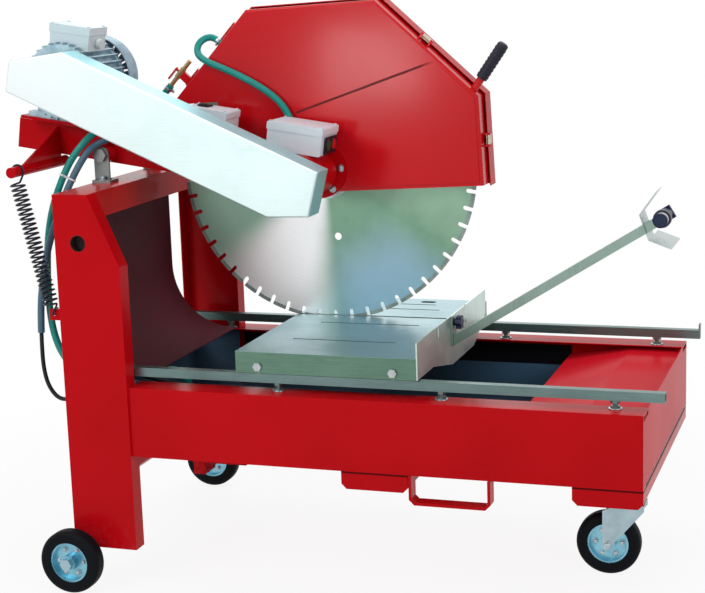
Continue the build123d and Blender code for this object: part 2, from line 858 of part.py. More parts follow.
# Belt drive: grooved pulleys, two belts and the guard round them
guard_gap = 29.0
guard_wall = 2.5
guard_bend = 5.0
pulley_gap = 17.0
pulley_width = 56.0
pulley_end_gap = 12.0
belt_edge = 14.5
motor_pulley_radius = 46.0
spindle_pulley_radius = 62.0
belt_width = 11.0
belt_thickness = 9.0
groove_gap = 1.0
guard_hole = 62.0
guard_motor_corners = [(-109.0, -20.0), (-93.0, 66.0), (72.0, 87.0)]
guard_spindle_corners = [(121.0, 38.0), (90.0, -82.0), (-29.0, -84.0)]
guard_far = motor_near - guard_gap
pulley_far = guard_far - pulley_gap
pulley_near = pulley_far - pulley_width
guard_near = pulley_near - pulley_end_gap
belt_places = (pulley_near + belt_edge, pulley_far - belt_edge)
guard_outline = [(motor_x + x, motor_level + z) for x, z in guard_motor_corners]
guard_outline += [(x, blade_height + z) for x, z in guard_spindle_corners]
with BuildPart() as belt_guard:
    with BuildSketch(side(guard_far)):
        Polygon(*guard_outline, align=None)
    extrude(amount=guard_far - guard_near)
    fillet(belt_guard.faces().sort_by(Axis.Y)[0].edges(), guard_bend)
    with BuildSketch(side(guard_far - guard_wall)):
        Polygon(*guard_outline, align=None)
        offset(amount=-guard_wall, kind=Kind.INTERSECTION, mode=Mode.REPLACE)
    extrude(amount=guard_far - guard_near - 2 * guard_wall, mode=Mode.SUBTRACT)
    with BuildSketch(arm(guard_far)):
        for place in (motor_axis, (0, 0)):
            with Locations(place):
                Circle(guard_hole / 2)
    extrude(amount=2 * guard_wall, mode=Mode.SUBTRACT)
keep(belt_guard, "belt_guard")

with BuildPart() as v_belts:
    for place in belt_places:
        with BuildSketch(arm(place + belt_width / 2)):
            with BuildSketch(mode=Mode.PRIVATE) as outside:
                with Locations(motor_axis):
                    Circle(motor_pulley_radius)
                Circle(spindle_pulley_radius)
                make_hull()
            with BuildSketch(mode=Mode.PRIVATE) as inside:
                with Locations(motor_axis):
                    Circle(motor_pulley_radius - belt_thickness)
                Circle(spindle_pulley_radius - belt_thickness)
                make_hull()
            add(outside.sketch)
            add(inside.sketch, mode=Mode.SUBTRACT)
        extrude(amount=belt_width)
keep(v_belts, "v_belts")


def grooved_shaft(place, pulley_radius, stretches):
    """A shaft of (radius, from, to) stretches along y with a grooved pulley, on the arm's plane."""
    with BuildPart() as body:
        for radius, near, far in stretches:
            with BuildSketch(arm(far)):
                with Locations(place):
                    Circle(radius)
            extrude(amount=far - near)
        with BuildSketch(arm(pulley_far)):
            with Locations(place):
                Circle(pulley_radius)
        extrude(amount=pulley_far - pulley_near)
        for middle in belt_places:
            groove = belt_width / 2 + groove_gap
            with BuildSketch(arm(middle + groove)):
                with Locations(place):
                    Circle(pulley_radius + groove_gap)
                    Circle(pulley_radius - belt_thickness - groove_gap, mode=Mode.SUBTRACT)
            extrude(amount=2 * groove, mode=Mode.SUBTRACT)
    return body


motor_shaft = grooved_shaft(
    motor_axis, motor_pulley_radius,
    [(motor_shaft_radius, pulley_near, motor_near + 2 * shield_thickness - hub_gap)],
)
keep(motor_shaft, "motor_shaft")

# Spindle in its housing, blade between two flanges, nut on the far side
spindle_radius = 25.0
housing_gap = 25.0
housing_flange = 80.0
housing_flange_thickness = 10.0
housing_near = guard_far + housing_gap
housing_far = hood_near_face - housing_flange_thickness
flange_radius = 88.0
flange_thickness = 12.0
nut_width = 46.0
nut_height = 20.0
fit_gap = 0.02
core_near = blade_y - blade_core / 2
core_far = blade_y + blade_core / 2
spindle_end = core_far + flange_thickness + nut_height
spindle = grooved_shaft(
    (0, 0), spindle_pulley_radius,
    [(spindle_radius, pulley_near, housing_far + hub_gap),
     (arbor_radius - fit_gap, housing_far + hub_gap, spindle_end)],
)
keep(spindle, "spindle")

with BuildPart() as spindle_housing:
    with BuildSketch(arm(housing_far)):
        Circle(housing_radius)
        Circle(spindle_radius + running_gap, mode=Mode.SUBTRACT)
    extrude(amount=housing_far - housing_near)
    with BuildSketch(arm(hood_near_face)):
        Circle(housing_flange)
        Circle(arbor_radius + hub_gap, mode=Mode.SUBTRACT)
    extrude(amount=hood_near_face - housing_far)
keep(spindle_housing, "spindle_housing")

with BuildPart() as blade_flanges:
    for face in (core_near, core_far + flange_thickness):
        with BuildSketch(arm(face)):
            Circle(flange_radius)
            Circle(arbor_radius, mode=Mode.SUBTRACT)
        extrude(amount=flange_thickness)
    with BuildSketch(arm(spindle_end)):
        RegularPolygon(nut_width / 2 + arbor_radius / 3, 6, major_radius=False)
        Circle(arbor_radius, mode=Mode.SUBTRACT)
    extrude(amount=nut_height)
keep(blade_flanges, "blade_flanges")

core_radius = blade_radius - segment_depth
gullet_bottom = blade_radius - gullet_depth + gullet_width / 2
gullet_length = gullet_depth + gullet_width
with BuildPart() as saw_blade:
    with BuildSketch(arm(core_far)):
        Circle(core_radius)
        with PolarLocations(gullet_bottom, segment_count):
            Circle(gullet_width / 2, mode=Mode.SUBTRACT)
        with PolarLocations(gullet_bottom + gullet_length / 2, segment_count):
            Rectangle(gullet_length, gullet_width, mode=Mode.SUBTRACT)
        Circle(arbor_radius, mode=Mode.SUBTRACT)
        with Locations((pin_hole_at * sin(radians(pin_hole_angle)),
                        -pin_hole_at * cos(radians(pin_hole_angle)))):
            Circle(pin_hole_radius, mode=Mode.SUBTRACT)
    extrude(amount=blade_core)
keep(saw_blade, "saw_blade")

with BuildPart() as blade_segments:
    with BuildSketch(arm(blade_y + segment_width / 2)):
        Circle(blade_radius)
        Circle(core_radius, mode=Mode.SUBTRACT)
        with PolarLocations(gullet_bottom + gullet_length / 2, segment_count):
            Rectangle(gullet_length, gullet_width, mode=Mode.SUBTRACT)
    extrude(amount=segment_width)
keep(blade_segments, "blade_segments")


# Blade hood
hood_run = cos(radians(hood_tilt))
hood_climb = sin(radians(hood_tilt))
seam_gap = 1.5


def hood(y):
    """Upright plane in the hood's own tilt, with its origin on the blade axis."""
    return Plane(origin=(origin_x, y, blade_height), x_dir=(hood_run, 0, hood_climb), z_dir=(0, -1, 0))


def rim(corner, along):
    """Plane across the hood's rim, a way along the edge that starts at a corner.

    Local x is y counted from the seam, local y is out from the rim and extrusion follows the edge.
    """
    (x1, z1), (x2, z2) = hood_outline[corner], hood_outline[corner + 1]
    length = hypot(x2 - x1, z2 - z1)
    ex, ez = (x2 - x1) / length, (z2 - z1) / length
    px, pz = x1 + ex * along, z1 + ez * along
    return Plane(
        origin=(origin_x + px * hood_run - pz * hood_climb, hood_seam,
                blade_height + px * hood_climb + pz * hood_run),
        x_dir=(0, 1, 0),
        z_dir=(ex * hood_run - ez * hood_climb, 0, ex * hood_climb + ez * hood_run),
    )


def edge_length(corner):
    (x1, z1), (x2, z2) = hood_outline[corner], hood_outline[corner + 1]
    return hypot(x2 - x1, z2 - z1)


def hood_shell(face, depth, lap):
    """One half shell in the open part: a plate at a face and a rim, open along its lower edges.

    The shell stands out past the hood's outline by the lap.
    """
    inward = 1 if depth > 0 else -1
    with BuildSketch(hood(face)) as plate:
        Polygon(*hood_outline, align=None)
        if lap:
            offset(amount=lap, kind=Kind.INTERSECTION, mode=Mode.REPLACE)
    extrude(plate.sketch, amount=-depth)
    left = hood_mouth - lap
    low = hood_bottom - lap
    right = hood_front + lap
    step = hood_back_level - lap
    outer = -blade_radius - lap
    with BuildSketch(hood(face + inward * sheet)) as hollow:
        Polygon(*hood_outline, align=None)
        offset(amount=lap - sheet, kind=Kind.INTERSECTION, mode=Mode.REPLACE)
        with Locations(((left + right) / 2 - sheet, low)):
            Rectangle(right - left, 4 * sheet)
        with Locations((left, (low + step) / 2)):
            Rectangle(4 * sheet, step - low)
        with Locations(((outer + left) / 2 + 2 * sheet, step)):
            Rectangle(left - outer - 2 * sheet, 4 * sheet)
    extrude(hollow.sketch, amount=-depth, mode=Mode.SUBTRACT)


hinge_gap = 1.0
hinge_barrel = 6.0
hinge_pin = 3.0
barrel_length = 20.0
barrel_gap = 0.5
hinge_places = (90.0, 270.0)
latch_places = (180.0, 125.0)
latch_back = 22.0
latch_rise = 6.5
latch_barrel = 5.5
latch_pin = 2.5
latch_width = 26.0
latch_ear = 6.0
latch_reach = 26.0
latch_strap = 3.0
latch_gap = 1.5
cover_lap = 7.0
hood_bend = 6.0
handle_y = 90.0
handle_back = 24.0
handle_angle = 55.0
handle_radius = 11.0
handle_neck = 40.0
grip_radius = 16.0
grip_length = 115.0
valve_along = 83.0
valve_out = 44.0
valve_side = -28.0
valve_flats = 16.0
valve_length = 36.0
valve_saddle = 24.0
plate_margin = 10.0
plate_start = (-57.0, 168.0)
plate_angle = 16.1
inlet_x = -72.0
inlet_rise = 126.0
inlet_stand_off = 14.0
inlet_lean = 20.0
inlet_radius = 7.0
inlet_block = 24.0
inlet_depth = 23.0
inlet_length = 16.0
hinge_offset = cover_lap + hinge_barrel + hinge_gap
latch_lift = cover_lap + latch_gap
latch_pivot = (-latch_back, latch_lift + latch_rise)
latch_seats = list(enumerate(latch_places, 2))
handle_dir = (cos(radians(handle_angle)), 0, sin(radians(handle_angle)))
handle_foot = rim(2, edge_length(2) - handle_back).from_local_coords((handle_y - hood_seam, -sheet, 0))
inlet_dir = (sin(radians(inlet_lean)), 0, -cos(radians(inlet_lean)))
inlet_place = (origin_x + inlet_x, hood_near_face - inlet_stand_off, blade_height + inlet_rise)


def hinge_block(place, half, inward, radius_hole):
    """A hinge barrel with its leaf on the rim; inward is -1 for the near shell, 1 for the cover."""
    with BuildSketch(rim(0, place)) as barrel:
        with Locations((0, hinge_offset)):
            Circle(hinge_barrel)
        with Locations((inward * hinge_barrel, hinge_offset / 2 + seam_gap / 2)):
            Rectangle(2 * hinge_barrel - 2 * seam_gap, hinge_offset + seam_gap)
        if radius_hole:
            with Locations((0, hinge_offset)):
                Circle(radius_hole, mode=Mode.SUBTRACT)
    extrude(barrel.sketch, amount=half, both=True)


# Near shell with a doubling plate over its lower half, the hinge and latch seats and the water inlet
plate_front_level = plate_start[1] + (hood_front - plate_start[0]) * tan(radians(plate_angle))
doubling_plate = [
    plate_start,
    (hood_front, plate_front_level),
    (hood_front, hood_bottom),
    (plate_start[0], hood_bottom),
]
with BuildPart() as hood_near:
    hood_shell(hood_near_face, hood_seam - hood_near_face, 0)
    face_edges = hood_near.faces().sort_by(Axis.Y)[0].outer_wire().edges()
    blade_axis = Vector(origin_x, hood_near_face, blade_height)
    fillet(sorted(face_edges, key=lambda bend: (bend @ 0.5 - blade_axis).length)[-4:], hood_bend)
    with BuildSketch(hood(hood_near_face)):
        Polygon(*hood_outline, align=None)
        offset(amount=-plate_margin, kind=Kind.INTERSECTION, mode=Mode.REPLACE)
        Polygon(*doubling_plate, align=None, mode=Mode.INTERSECT)
        Circle(housing_flange + seam_gap, mode=Mode.SUBTRACT)
    extrude(amount=sheet)
    with BuildSketch(Plane(origin=inlet_place, z_dir=inlet_dir)):
        Circle(inlet_radius)
    extrude(amount=inlet_length)
    with BuildSketch(side(hood_near_face)):
        with Locations((inlet_x + inlet_dir[0] * inlet_length, inlet_place[2] - inlet_length / 2)):
            Rectangle(inlet_block, inlet_block, align=(Align.CENTER, Align.MAX))
    extrude(amount=inlet_depth)
    with BuildSketch(arm(hood_near_face + sheet)):
        Circle(arbor_radius + sheet)
    extrude(amount=sheet, mode=Mode.SUBTRACT)
    for place in hinge_places:
        for hand in (-1, 1):
            hinge_block(place + hand * (barrel_length + barrel_gap), barrel_length / 2, -1, 0)
        with BuildSketch(rim(0, place)):
            with Locations((0, hinge_offset)):
                Circle(hinge_pin)
        extrude(amount=barrel_length, both=True)
    for corner, along in latch_seats:
        for hand in (-1, 1):
            with BuildSketch(rim(corner, along + hand * (latch_width / 2 + latch_ear / 2 + barrel_gap))):
                with Locations((latch_pivot[0], latch_pivot[1] / 2)):
                    Rectangle(2 * latch_barrel, latch_pivot[1])
                with Locations(latch_pivot):
                    Circle(latch_barrel)
            extrude(amount=latch_ear / 2, both=True)
        with BuildSketch(rim(corner, along)):
            with Locations(latch_pivot):
                Circle(latch_pin)
        extrude(amount=latch_width / 2 + barrel_gap, both=True)
    with BuildSketch(Plane(origin=handle_foot, z_dir=handle_dir)):
        Circle(handle_radius)
    extrude(amount=handle_neck + grip_length - grip_radius)
    with BuildSketch(rim(0, valve_along)):
        with Locations((valve_side, (valve_out - valve_flats / 2) / 2)):
            Rectangle(valve_saddle / 2, valve_out - valve_flats / 2)
    extrude(amount=valve_saddle / 2, both=True)
keep(hood_near, "hood_near")

with BuildPart() as hood_cover:
    hood_shell(hood_far_face, hood_seam + seam_gap - hood_far_face, cover_lap)
    for place in hinge_places:
        hinge_block(place, barrel_length / 2 - barrel_gap / 2, 1, hinge_pin + running_gap)
keep(hood_cover, "hood_cover")

for latch_name, (corner, along) in zip(("latch_upper", "latch_lower"), latch_seats):
    with BuildPart() as latch:
        with BuildSketch(rim(corner, along)):
            with Locations(latch_pivot):
                Circle(latch_barrel)
            with Locations(((latch_pivot[0] + latch_reach) / 2, latch_lift + latch_strap / 2)):
                Rectangle(latch_reach - latch_pivot[0], latch_strap)
            with Locations((latch_pivot[0], (latch_pivot[1] + latch_lift) / 2)):
                Rectangle(latch_barrel, latch_pivot[1] - latch_lift)
            with Locations(latch_pivot):
                Circle(latch_pin + running_gap, mode=Mode.SUBTRACT)
        extrude(amount=latch_width / 2, both=True)
    keep(latch, latch_name)

with BuildPart() as handle_grip:
    with BuildSketch(Plane(origin=handle_foot, z_dir=handle_dir).offset(handle_neck)):
        Circle(grip_radius)
    extrude(amount=grip_length)
    fillet(handle_grip.edges().sort_by(Axis.Z)[-1], grip_radius / 2)
    with BuildSketch(Plane(origin=handle_foot, z_dir=handle_dir).offset(handle_neck)):
        Circle(handle_radius + fit_gap)
    extrude(amount=grip_length - grip_radius, mode=Mode.SUBTRACT)
keep(handle_grip, "handle_grip")

# Water valve on its saddle: a hexagon body with two spigots and a lever on a stem
spigot_radius = 6.5
spigot_length = 30.0
stem_radius = 4.0
stem_depth = 4.0
stem_height = 12.0
lever_length = 46.0
lever_width = 12.0
lever_thickness = 4.0
with BuildPart() as water_valve:
    with BuildSketch(rim(0, valve_along)):
        with Locations((valve_side, valve_out)):
            RegularPolygon(valve_flats / 2, 6, major_radius=False)
    extrude(amount=valve_length / 2, both=True)
    with BuildSketch(rim(0, valve_along)):
        with Locations((valve_side, valve_out)):
            Circle(spigot_radius)
    extrude(amount=valve_length / 2 + spigot_length, both=True)
    with BuildSketch(Plane(rim(0, valve_along).from_local_coords((valve_side, valve_out, 0)),
                           x_dir=rim(0, valve_along).z_dir, z_dir=rim(0, valve_along).y_dir)):
        Circle(stem_radius + running_gap)
    extrude(amount=valve_flats, mode=Mode.SUBTRACT)
keep(water_valve, "water_valve")
valve_top = Plane(
    rim(0, valve_along).from_local_coords((valve_side, valve_out + valve_flats / 2, 0)),
    x_dir=rim(0, valve_along).z_dir,
    z_dir=rim(0, valve_along).y_dir,
)
with BuildPart() as valve_handle:
    with BuildSketch(valve_top.offset(-stem_depth)):
        Circle(stem_radius)
    extrude(amount=stem_depth + stem_height)
    with BuildSketch(valve_top.offset(stem_height - lever_thickness)):
        with Locations((-lever_length / 2 + lever_width / 2, 0)):
            SlotOverall(lever_length, lever_width)
    extrude(amount=lever_thickness)
keep(valve_handle, "valve_handle")

# Switch box and plug box on the arm's top
switch_left = -117.0
switch_right = 50.0
switch_near = -100.0
switch_far = 34.0
switch_base = arm_nose + moving_gap / 2
switch_top = 143.0
box_edge = 6.0
button_radius = 16.0
button_height = 9.0
button_travel = 4.0
button_pocket = 8.0
button_level = 93.0
button_places = {"start_button": -50.0, "stop_button": -6.0}
plug_left = -378.0
plug_right = -243.0
plug_near = -92.0
plug_far = 12.0
plug_top = 146.0


def case(left, right, base, top, near, far):
    """A closed case on the arm's plane under a lid that laps over it."""
    middle = (left + right) / 2
    with BuildSketch(arm(far - lid_lap)) as body:
        with Locations((middle, (base + top) / 2)):
            RectangleRounded(right - left - 2 * lid_lap, top - base, box_edge)
    extrude(body.sketch, amount=far - near - 2 * lid_lap)
    with BuildSketch(arm(far)) as lid:
        with Locations((middle, top - lid_height / 2)):
            RectangleRounded(right - left, lid_height, box_edge)
    extrude(lid.sketch, amount=far - near)


def switch_face(depth):
    """Plane on the switch box's end face, moved in by a depth; local x runs towards the belt side."""
    foot = arm(0).from_local_coords((switch_right - lid_lap - depth, button_level, 0))
    return Plane(foot, x_dir=(0, 1, 0), z_dir=arm(0).x_dir)


with BuildPart() as switch_box:
    case(switch_left, switch_right, switch_base, switch_top, switch_near, switch_far)
    for place in button_places.values():
        with BuildSketch(switch_face(button_pocket)):
            with Locations((place, 0)):
                Circle(button_radius + moving_gap / 2)
        extrude(amount=button_pocket, mode=Mode.SUBTRACT)
    with BuildSketch(arm(arm_far)):
        with Locations((switch_left + arm_nose / 2, arm_depth / 2)):
            Rectangle(arm_nose / 2, switch_base - arm_depth / 2 + sheet, align=(Align.CENTER, Align.MIN))
    extrude(amount=arm_width)
keep(switch_box, "switch_box")
for button_name, place in button_places.items():
    with BuildPart() as button:
        with BuildSketch(switch_face(button_pocket - button_travel)):
            with Locations((place, 0)):
                Circle(button_radius)
        extrude(amount=button_height + button_pocket - button_travel)
        fillet(button.edges().sort_by(Axis.X)[-1], sheet)
    keep(button, button_name)

with BuildPart() as plug_box:
    case(plug_left, plug_right, arm_depth / 2, plug_top, plug_near, plug_far)
keep(plug_box, "plug_box")

# Sliding table: a folded tray with cutting slots, running on two roller axles
roller_inset = 64.0
roller_lift = 0.3
roller_shaft = 6.0
roller_head = 12.5
blade_slot = 14.0
slot_margin = 9.0
table_slots = [(-210.0, -3.0, 298.0), (10.0, 2.0, 300.0), (228.0, 140.0, 300.0), (300.0, 156.0, 269.0)]
table_slot_width = 8.0
finger_hole_back = 170.0
finger_hole_inset = 43.0
blade_slot_end = table_right - slot_margin
finger_hole_x = table_right - finger_hole_back
finger_hole_y = table_half_width - finger_hole_inset
roller_places = {
    "roller_axle_left": table_left + roller_inset,
    "roller_axle_right": table_right - roller_inset,
}
roller_z = rail_base + rail_size + roller_radius + roller_lift
table_length = table_right - table_left
with BuildPart() as table_top:
    with BuildSketch(deck(table_top_z - table_skirt)):
        with Locations(((table_left + table_right) / 2, 0)):
            Rectangle(table_length, 2 * table_half_width)
    extrude(amount=table_skirt)
    with BuildSketch(deck(table_top_z - table_skirt)):
        with Locations(((table_left + table_right) / 2, 0)):
            Rectangle(table_length - 2 * sheet, 2 * (table_half_width - sheet))
    extrude(amount=table_skirt - sheet, mode=Mode.SUBTRACT)
    with BuildSketch(deck(table_top_z)):
        for slot_y, slot_from, slot_to in table_slots:
            with Locations(((slot_from + slot_to) / 2, slot_y)):
                SlotOverall(slot_to - slot_from, table_slot_width)
        with Locations((finger_hole_x, finger_hole_y)):
            SlotOverall(6 * table_slot_width, 3 * table_slot_width)
        with Locations(((table_left + blade_slot_end) / 2, blade_y)):
            Rectangle(blade_slot_end - table_left, blade_slot)
    extrude(amount=-sheet, mode=Mode.SUBTRACT)
    with BuildSketch(end(table_left)):
        with Locations((blade_y, table_top_z)):
            Rectangle(blade_slot, table_skirt)
    extrude(amount=sheet, mode=Mode.SUBTRACT)
    with BuildSketch(side(table_half_width)):
        for place in roller_places.values():
            with Locations((place, roller_z)):
                Circle(roller_shaft + running_gap)
    extrude(amount=2 * table_half_width, mode=Mode.SUBTRACT)
keep(table_top, "table_top")

for roller_name, place in roller_places.items():
    with BuildPart() as roller:
        with BuildSketch(side(table_half_width + hub_gap)):
            with Locations((place, roller_z)):
                Circle(roller_shaft)
        extrude(amount=2 * (table_half_width + hub_gap))
        for hand in (-1, 1):
            with BuildSketch(side(hand * rail_y + roller_width / 2)):
                with Locations((place, roller_z)):
                    Circle(roller_radius)
            extrude(amount=roller_width)
            with BuildSketch(side(hand * (table_half_width + hub_gap))):
                with Locations((place, roller_z)):
                    RegularPolygon(roller_head, 6)
            extrude(amount=-hand * roller_shaft)
    keep(roller, roller_name)

# Fence at the table's end, with saw slits and a stepped lower edge
fence_plate = 4.0
fence_rise = 42.5
fence_inset = 1.0
fence_slit_depths = [(blade_y, 54.0, blade_slot), (-175.0, 30.0, table_slot_width)]
fence_steps = [(-230.0, -57.5), (-30.0, -97.5), (207.0, -97.5), (245.0, -83.5), (352.0, -30.5)]
fence_top = table_top_z + fence_rise
fence_near = fence_inset - table_half_width
fence_outline = [(fence_near, fence_top), (fence_near, table_top_z + fence_steps[0][1])]
fence_outline += [(y, table_top_z + drop) for y, drop in fence_steps]
fence_outline.append((fence_steps[-1][0], fence_top))
knob_y = -27.0
knob_drop = 19.0
knob_stud = 6.0
knob_z = fence_top - knob_drop
with BuildPart() as table_fence:
    with BuildSketch(end(table_right)):
        Polygon(*fence_outline, align=None)
        for slit_y, slit_depth, slit_width in fence_slit_depths:
            with Locations((slit_y, fence_top - slit_depth / 2)):
                Rectangle(slit_width, slit_depth, mode=Mode.SUBTRACT)
        with Locations((knob_y, knob_z)):
            Circle(knob_stud + running_gap, mode=Mode.SUBTRACT)
    extrude(amount=fence_plate)
keep(table_fence, "table_fence")

# Laser bar: foot plate on the fence, rising square bar, clamp ring and folded splash visor
bar_size = 25.0
bar_start_ahead = 12.0
bar_start_drop = 26.0
bar_reach = 556.0
bar_climb = 340.5
bar_foot_gap = 0.5
foot_plate = 5.0
foot_plate_width = 40.0
foot_plate_drop = 40.0
laser_radius = 18.0
laser_near = -74.0
laser_far = 46.0
ring_wall = 6.0
laser_cap = 38.0
laser_cap_depth = 12.0
visor_folds = [(3.0, 84.0), (-41.0, 22.0), (-16.0, -46.0)]
flap_folds = [(-16.0, -46.0), (44.0, -68.0)]
visor_sheet = 2.0
visor_near = -46.0
visor_far = 52.0
flap_far = 130.0
bar_start = (table_right + bar_start_ahead, table_top_z - bar_start_drop)
bar_tip = (bar_start[0] + bar_reach, bar_start[1] + bar_climb)
foot_plate_low = table_top_z - foot_plate_drop
bar_angle = atan2(bar_tip[1] - bar_start[1], bar_tip[0] - bar_start[0])
bar_length = hypot(bar_tip[0] - bar_start[0], bar_tip[1] - bar_start[1])
bar_dir = (cos(bar_angle), sin(bar_angle))
laser_reach = laser_radius + ring_wall / 2
laser_x = bar_tip[0] + bar_dir[0] * laser_reach
laser_z = bar_tip[1] + bar_dir[1] * laser_reach
foot_face = table_right + fence_plate + bar_foot_gap
with BuildPart() as laser_bar:
    with BuildSketch(end(foot_face)):
        with Locations((knob_y, (foot_plate_low + fence_top) / 2)):
            Rectangle(foot_plate_width, fence_top - foot_plate_low)
    extrude(amount=foot_plate)
    with BuildSketch(side(knob_y + bar_size / 2)):
        with Locations(Location(((bar_start[0] + bar_tip[0]) / 2, (bar_start[1] + bar_tip[1]) / 2), degrees(bar_angle))):
            Rectangle(bar_length + bar_size, bar_size)
        with Locations((foot_face / 2, bar_start[1])):
            Rectangle(foot_face, fence_top - foot_plate_low, mode=Mode.SUBTRACT)
        with Locations((laser_x, laser_z)):
            Circle(laser_radius + ring_wall)
    extrude(amount=bar_size)
    for folds, far in ((visor_folds, visor_far), (flap_folds, flap_far)):
        with BuildSketch(side(far)):
            with BuildLine():
                bent = Polyline(*[(bar_tip[0] + x, bar_tip[1] + z) for x, z in folds])
                offset(bent, amount=visor_sheet / 2, side=Side.BOTH, kind=Kind.INTERSECTION)
            make_face()
        extrude(amount=far - visor_near)
    with BuildSketch(side(knob_y + bar_size)):
        with Locations((laser_x, laser_z)):
            Circle(laser_radius + running_gap)
    extrude(amount=2 * bar_size, mode=Mode.SUBTRACT)
    with BuildSketch(end(foot_face)):
        with Locations((knob_y, knob_z)):
            Circle(knob_stud + running_gap)
    extrude(amount=foot_plate, mode=Mode.SUBTRACT)
keep(laser_bar, "laser_bar")

with BuildPart() as laser_unit:
    with BuildSketch(side(laser_far)):
        with Locations((laser_x, laser_z)):
            Circle(laser_radius)
    extrude(amount=laser_far - laser_near)
    chamfer(laser_unit.edges().filter_by(GeomType.CIRCLE).sort_by(Axis.Y)[0], visor_sheet)
    with BuildSketch(side(laser_far + laser_cap_depth)):
        with Locations(Location((laser_x, laser_z), degrees(bar_angle))):
            Rectangle(laser_cap, laser_cap)
    extrude(amount=laser_cap_depth)
keep(laser_unit, "laser_unit")

# Star knob on a stud through the foot plate and the fence
knob_radius = 15.0
knob_lobe = 5.0
knob_lobes = 6
knob_depth = 16.0
knob_neck = 6.0
knob_face = foot_face + foot_plate + moving_gap
with BuildPart() as clamp_knob:
    with BuildSketch(end(table_right - knob_stud)):
        with Locations((knob_y, knob_z)):
            Circle(knob_stud)
    extrude(amount=knob_face + knob_neck - table_right + knob_stud)
    with BuildSketch(end(knob_face)):
        with Locations((knob_y, knob_z)):
            Circle(knob_radius - knob_lobe)
    extrude(amount=knob_neck)
    with BuildSketch(end(knob_face + knob_neck)):
        with Locations((knob_y, knob_z)):
            Circle(knob_radius)
            with PolarLocations(knob_radius, knob_lobes):
                Circle(knob_lobe)
    extrude(amount=knob_depth)
keep(clamp_knob, "clamp_knob")

# Counterweight spring: one wire with open coils between the arm's bar and the post's lug
wire = 5.0
coil_radius = 17.0
coil_turns = 26
hook_radius = 10.0
hook_lead = 16.0
spring_end_gap = 0.5


def at(x, y, z):
    """Point in the part frame from its place beside the blade axis."""
    return Vector(x + origin_x, y, z)


spring_top = at(spring_bar_x, spring_y, spring_bar_z)
spring_run = at(lug_hole_x, spring_y, lug_z) - spring_top
down = spring_run.normalized()
sideways = Vector(0, 1, 0)
forward = down.cross(sideways)
coil_from = spring_bar_radius + spring_end_gap + hook_lead
hook_sine = 0.0
for _ in range(4):
    hook_offset = hook_radius * (1 - hook_sine)
    lug_reached = spring_run.length - lug_height / 2 / abs(down.Z) - wire / 4
    lug_reached += hypot(coil_radius, hook_offset) * forward.Z / abs(down.Z)
    coil_to = lug_reached - hook_lead
    first_angle = atan2(coil_radius, -hook_offset)
    last_angle = atan2(-hook_offset, coil_radius) + 2 * pi * coil_turns
    pitch_rate = (coil_to - coil_from) / (last_angle - first_angle)
    hook_sine = pitch_rate / hypot(pitch_rate, coil_radius)
hook_cosine = (1 - hook_sine**2) ** 0.5


def coil_point(angle):
    """Place on the coil at a turn angle."""
    reach = forward * cos(angle) + sideways * sin(angle)
    return spring_top + reach * coil_radius + down * (coil_from + pitch_rate * (angle - first_angle))


def coil_tangent(angle):
    """Running direction of the coil at a turn angle."""
    around = sideways * cos(angle) - forward * sin(angle)
    return around * hook_cosine + down * hook_sine


def hook_end(angle, way):
    """End of the quarter bend that leaves the coil along the spring's axis."""
    around = sideways * cos(angle) - forward * sin(angle)
    return coil_point(angle) + (around * hook_offset + down * hook_radius * hook_cosine) * way


def biarc(start, start_dir, stop, stop_dir):
    """Joint and joint tangent of two arcs that leave and arrive along given directions."""
    across = stop - start
    both = start_dir + stop_dir
    turn = 2 * (1 - start_dir.dot(stop_dir))
    reach = (((across.dot(both)) ** 2 + turn * across.dot(across)) ** 0.5 - across.dot(both)) / turn
    leg_start = start + start_dir * reach
    leg_stop = stop - stop_dir * reach
    return (leg_start + leg_stop) / 2, (leg_stop - leg_start).normalized()


half_turns = round((last_angle - first_angle) / pi + 0.5)
angles = [first_angle + (last_angle - first_angle) * n / half_turns for n in range(half_turns + 1)]
straight = hook_lead - hook_radius * hook_cosine
hook_top = hook_end(first_angle, -1)
hook_bottom = hook_end(last_angle, 1)
with BuildPart() as counter_spring:
    with BuildLine() as coil:
        Line(hook_top - down * straight, hook_top)
        TangentArc(hook_top, coil_point(first_angle), tangent=down)
        for here, there in zip(angles, angles[1:]):
            middle, heading = biarc(coil_point(here), coil_tangent(here), coil_point(there), coil_tangent(there))
            TangentArc(coil_point(here), middle, tangent=coil_tangent(here))
            TangentArc(middle, coil_point(there), tangent=heading)
        TangentArc(coil_point(last_angle), hook_bottom, tangent=coil_tangent(last_angle))
        Line(hook_bottom, hook_bottom + down * straight)
    with BuildSketch(Plane(origin=hook_top - down * straight, x_dir=forward, z_dir=down)):
        RegularPolygon(wire / 2, 6)
    sweep(clean=False)
keep(counter_spring, "counter_spring")
coil_samples = [coil_point(first_angle + (last_angle - first_angle) * n / 1200) for n in range(1201)]
coil_apart = round(0.6 * 1200 * 2 * pi / (last_angle - first_angle))
coil_gap = min(
    (coil_samples[n] - other).length
    for n in range(0, 1201)
    for other in coil_samples[n + coil_apart : n + 3 * coil_apart]
)
print("spring least gap", round(coil_gap - wire, 2), "volume", round(counter_spring.part.volume))

# Hoses and cables: straight runs joined by tangent bends
cable_radius = 6.0
bend_share = 0.45
hose_lead = 28.0
inlet_run = 46.8
valve_tail = valve_along - valve_length / 2 - spigot_length
spray_along = 235.0
spray_side = -27.0


def beside(plane, across, out):
    """Place on a plane, told beside the blade axis."""
    found = plane.from_local_coords((across, out, 0))
    return (found.X - origin_x, found.Y, found.Z)


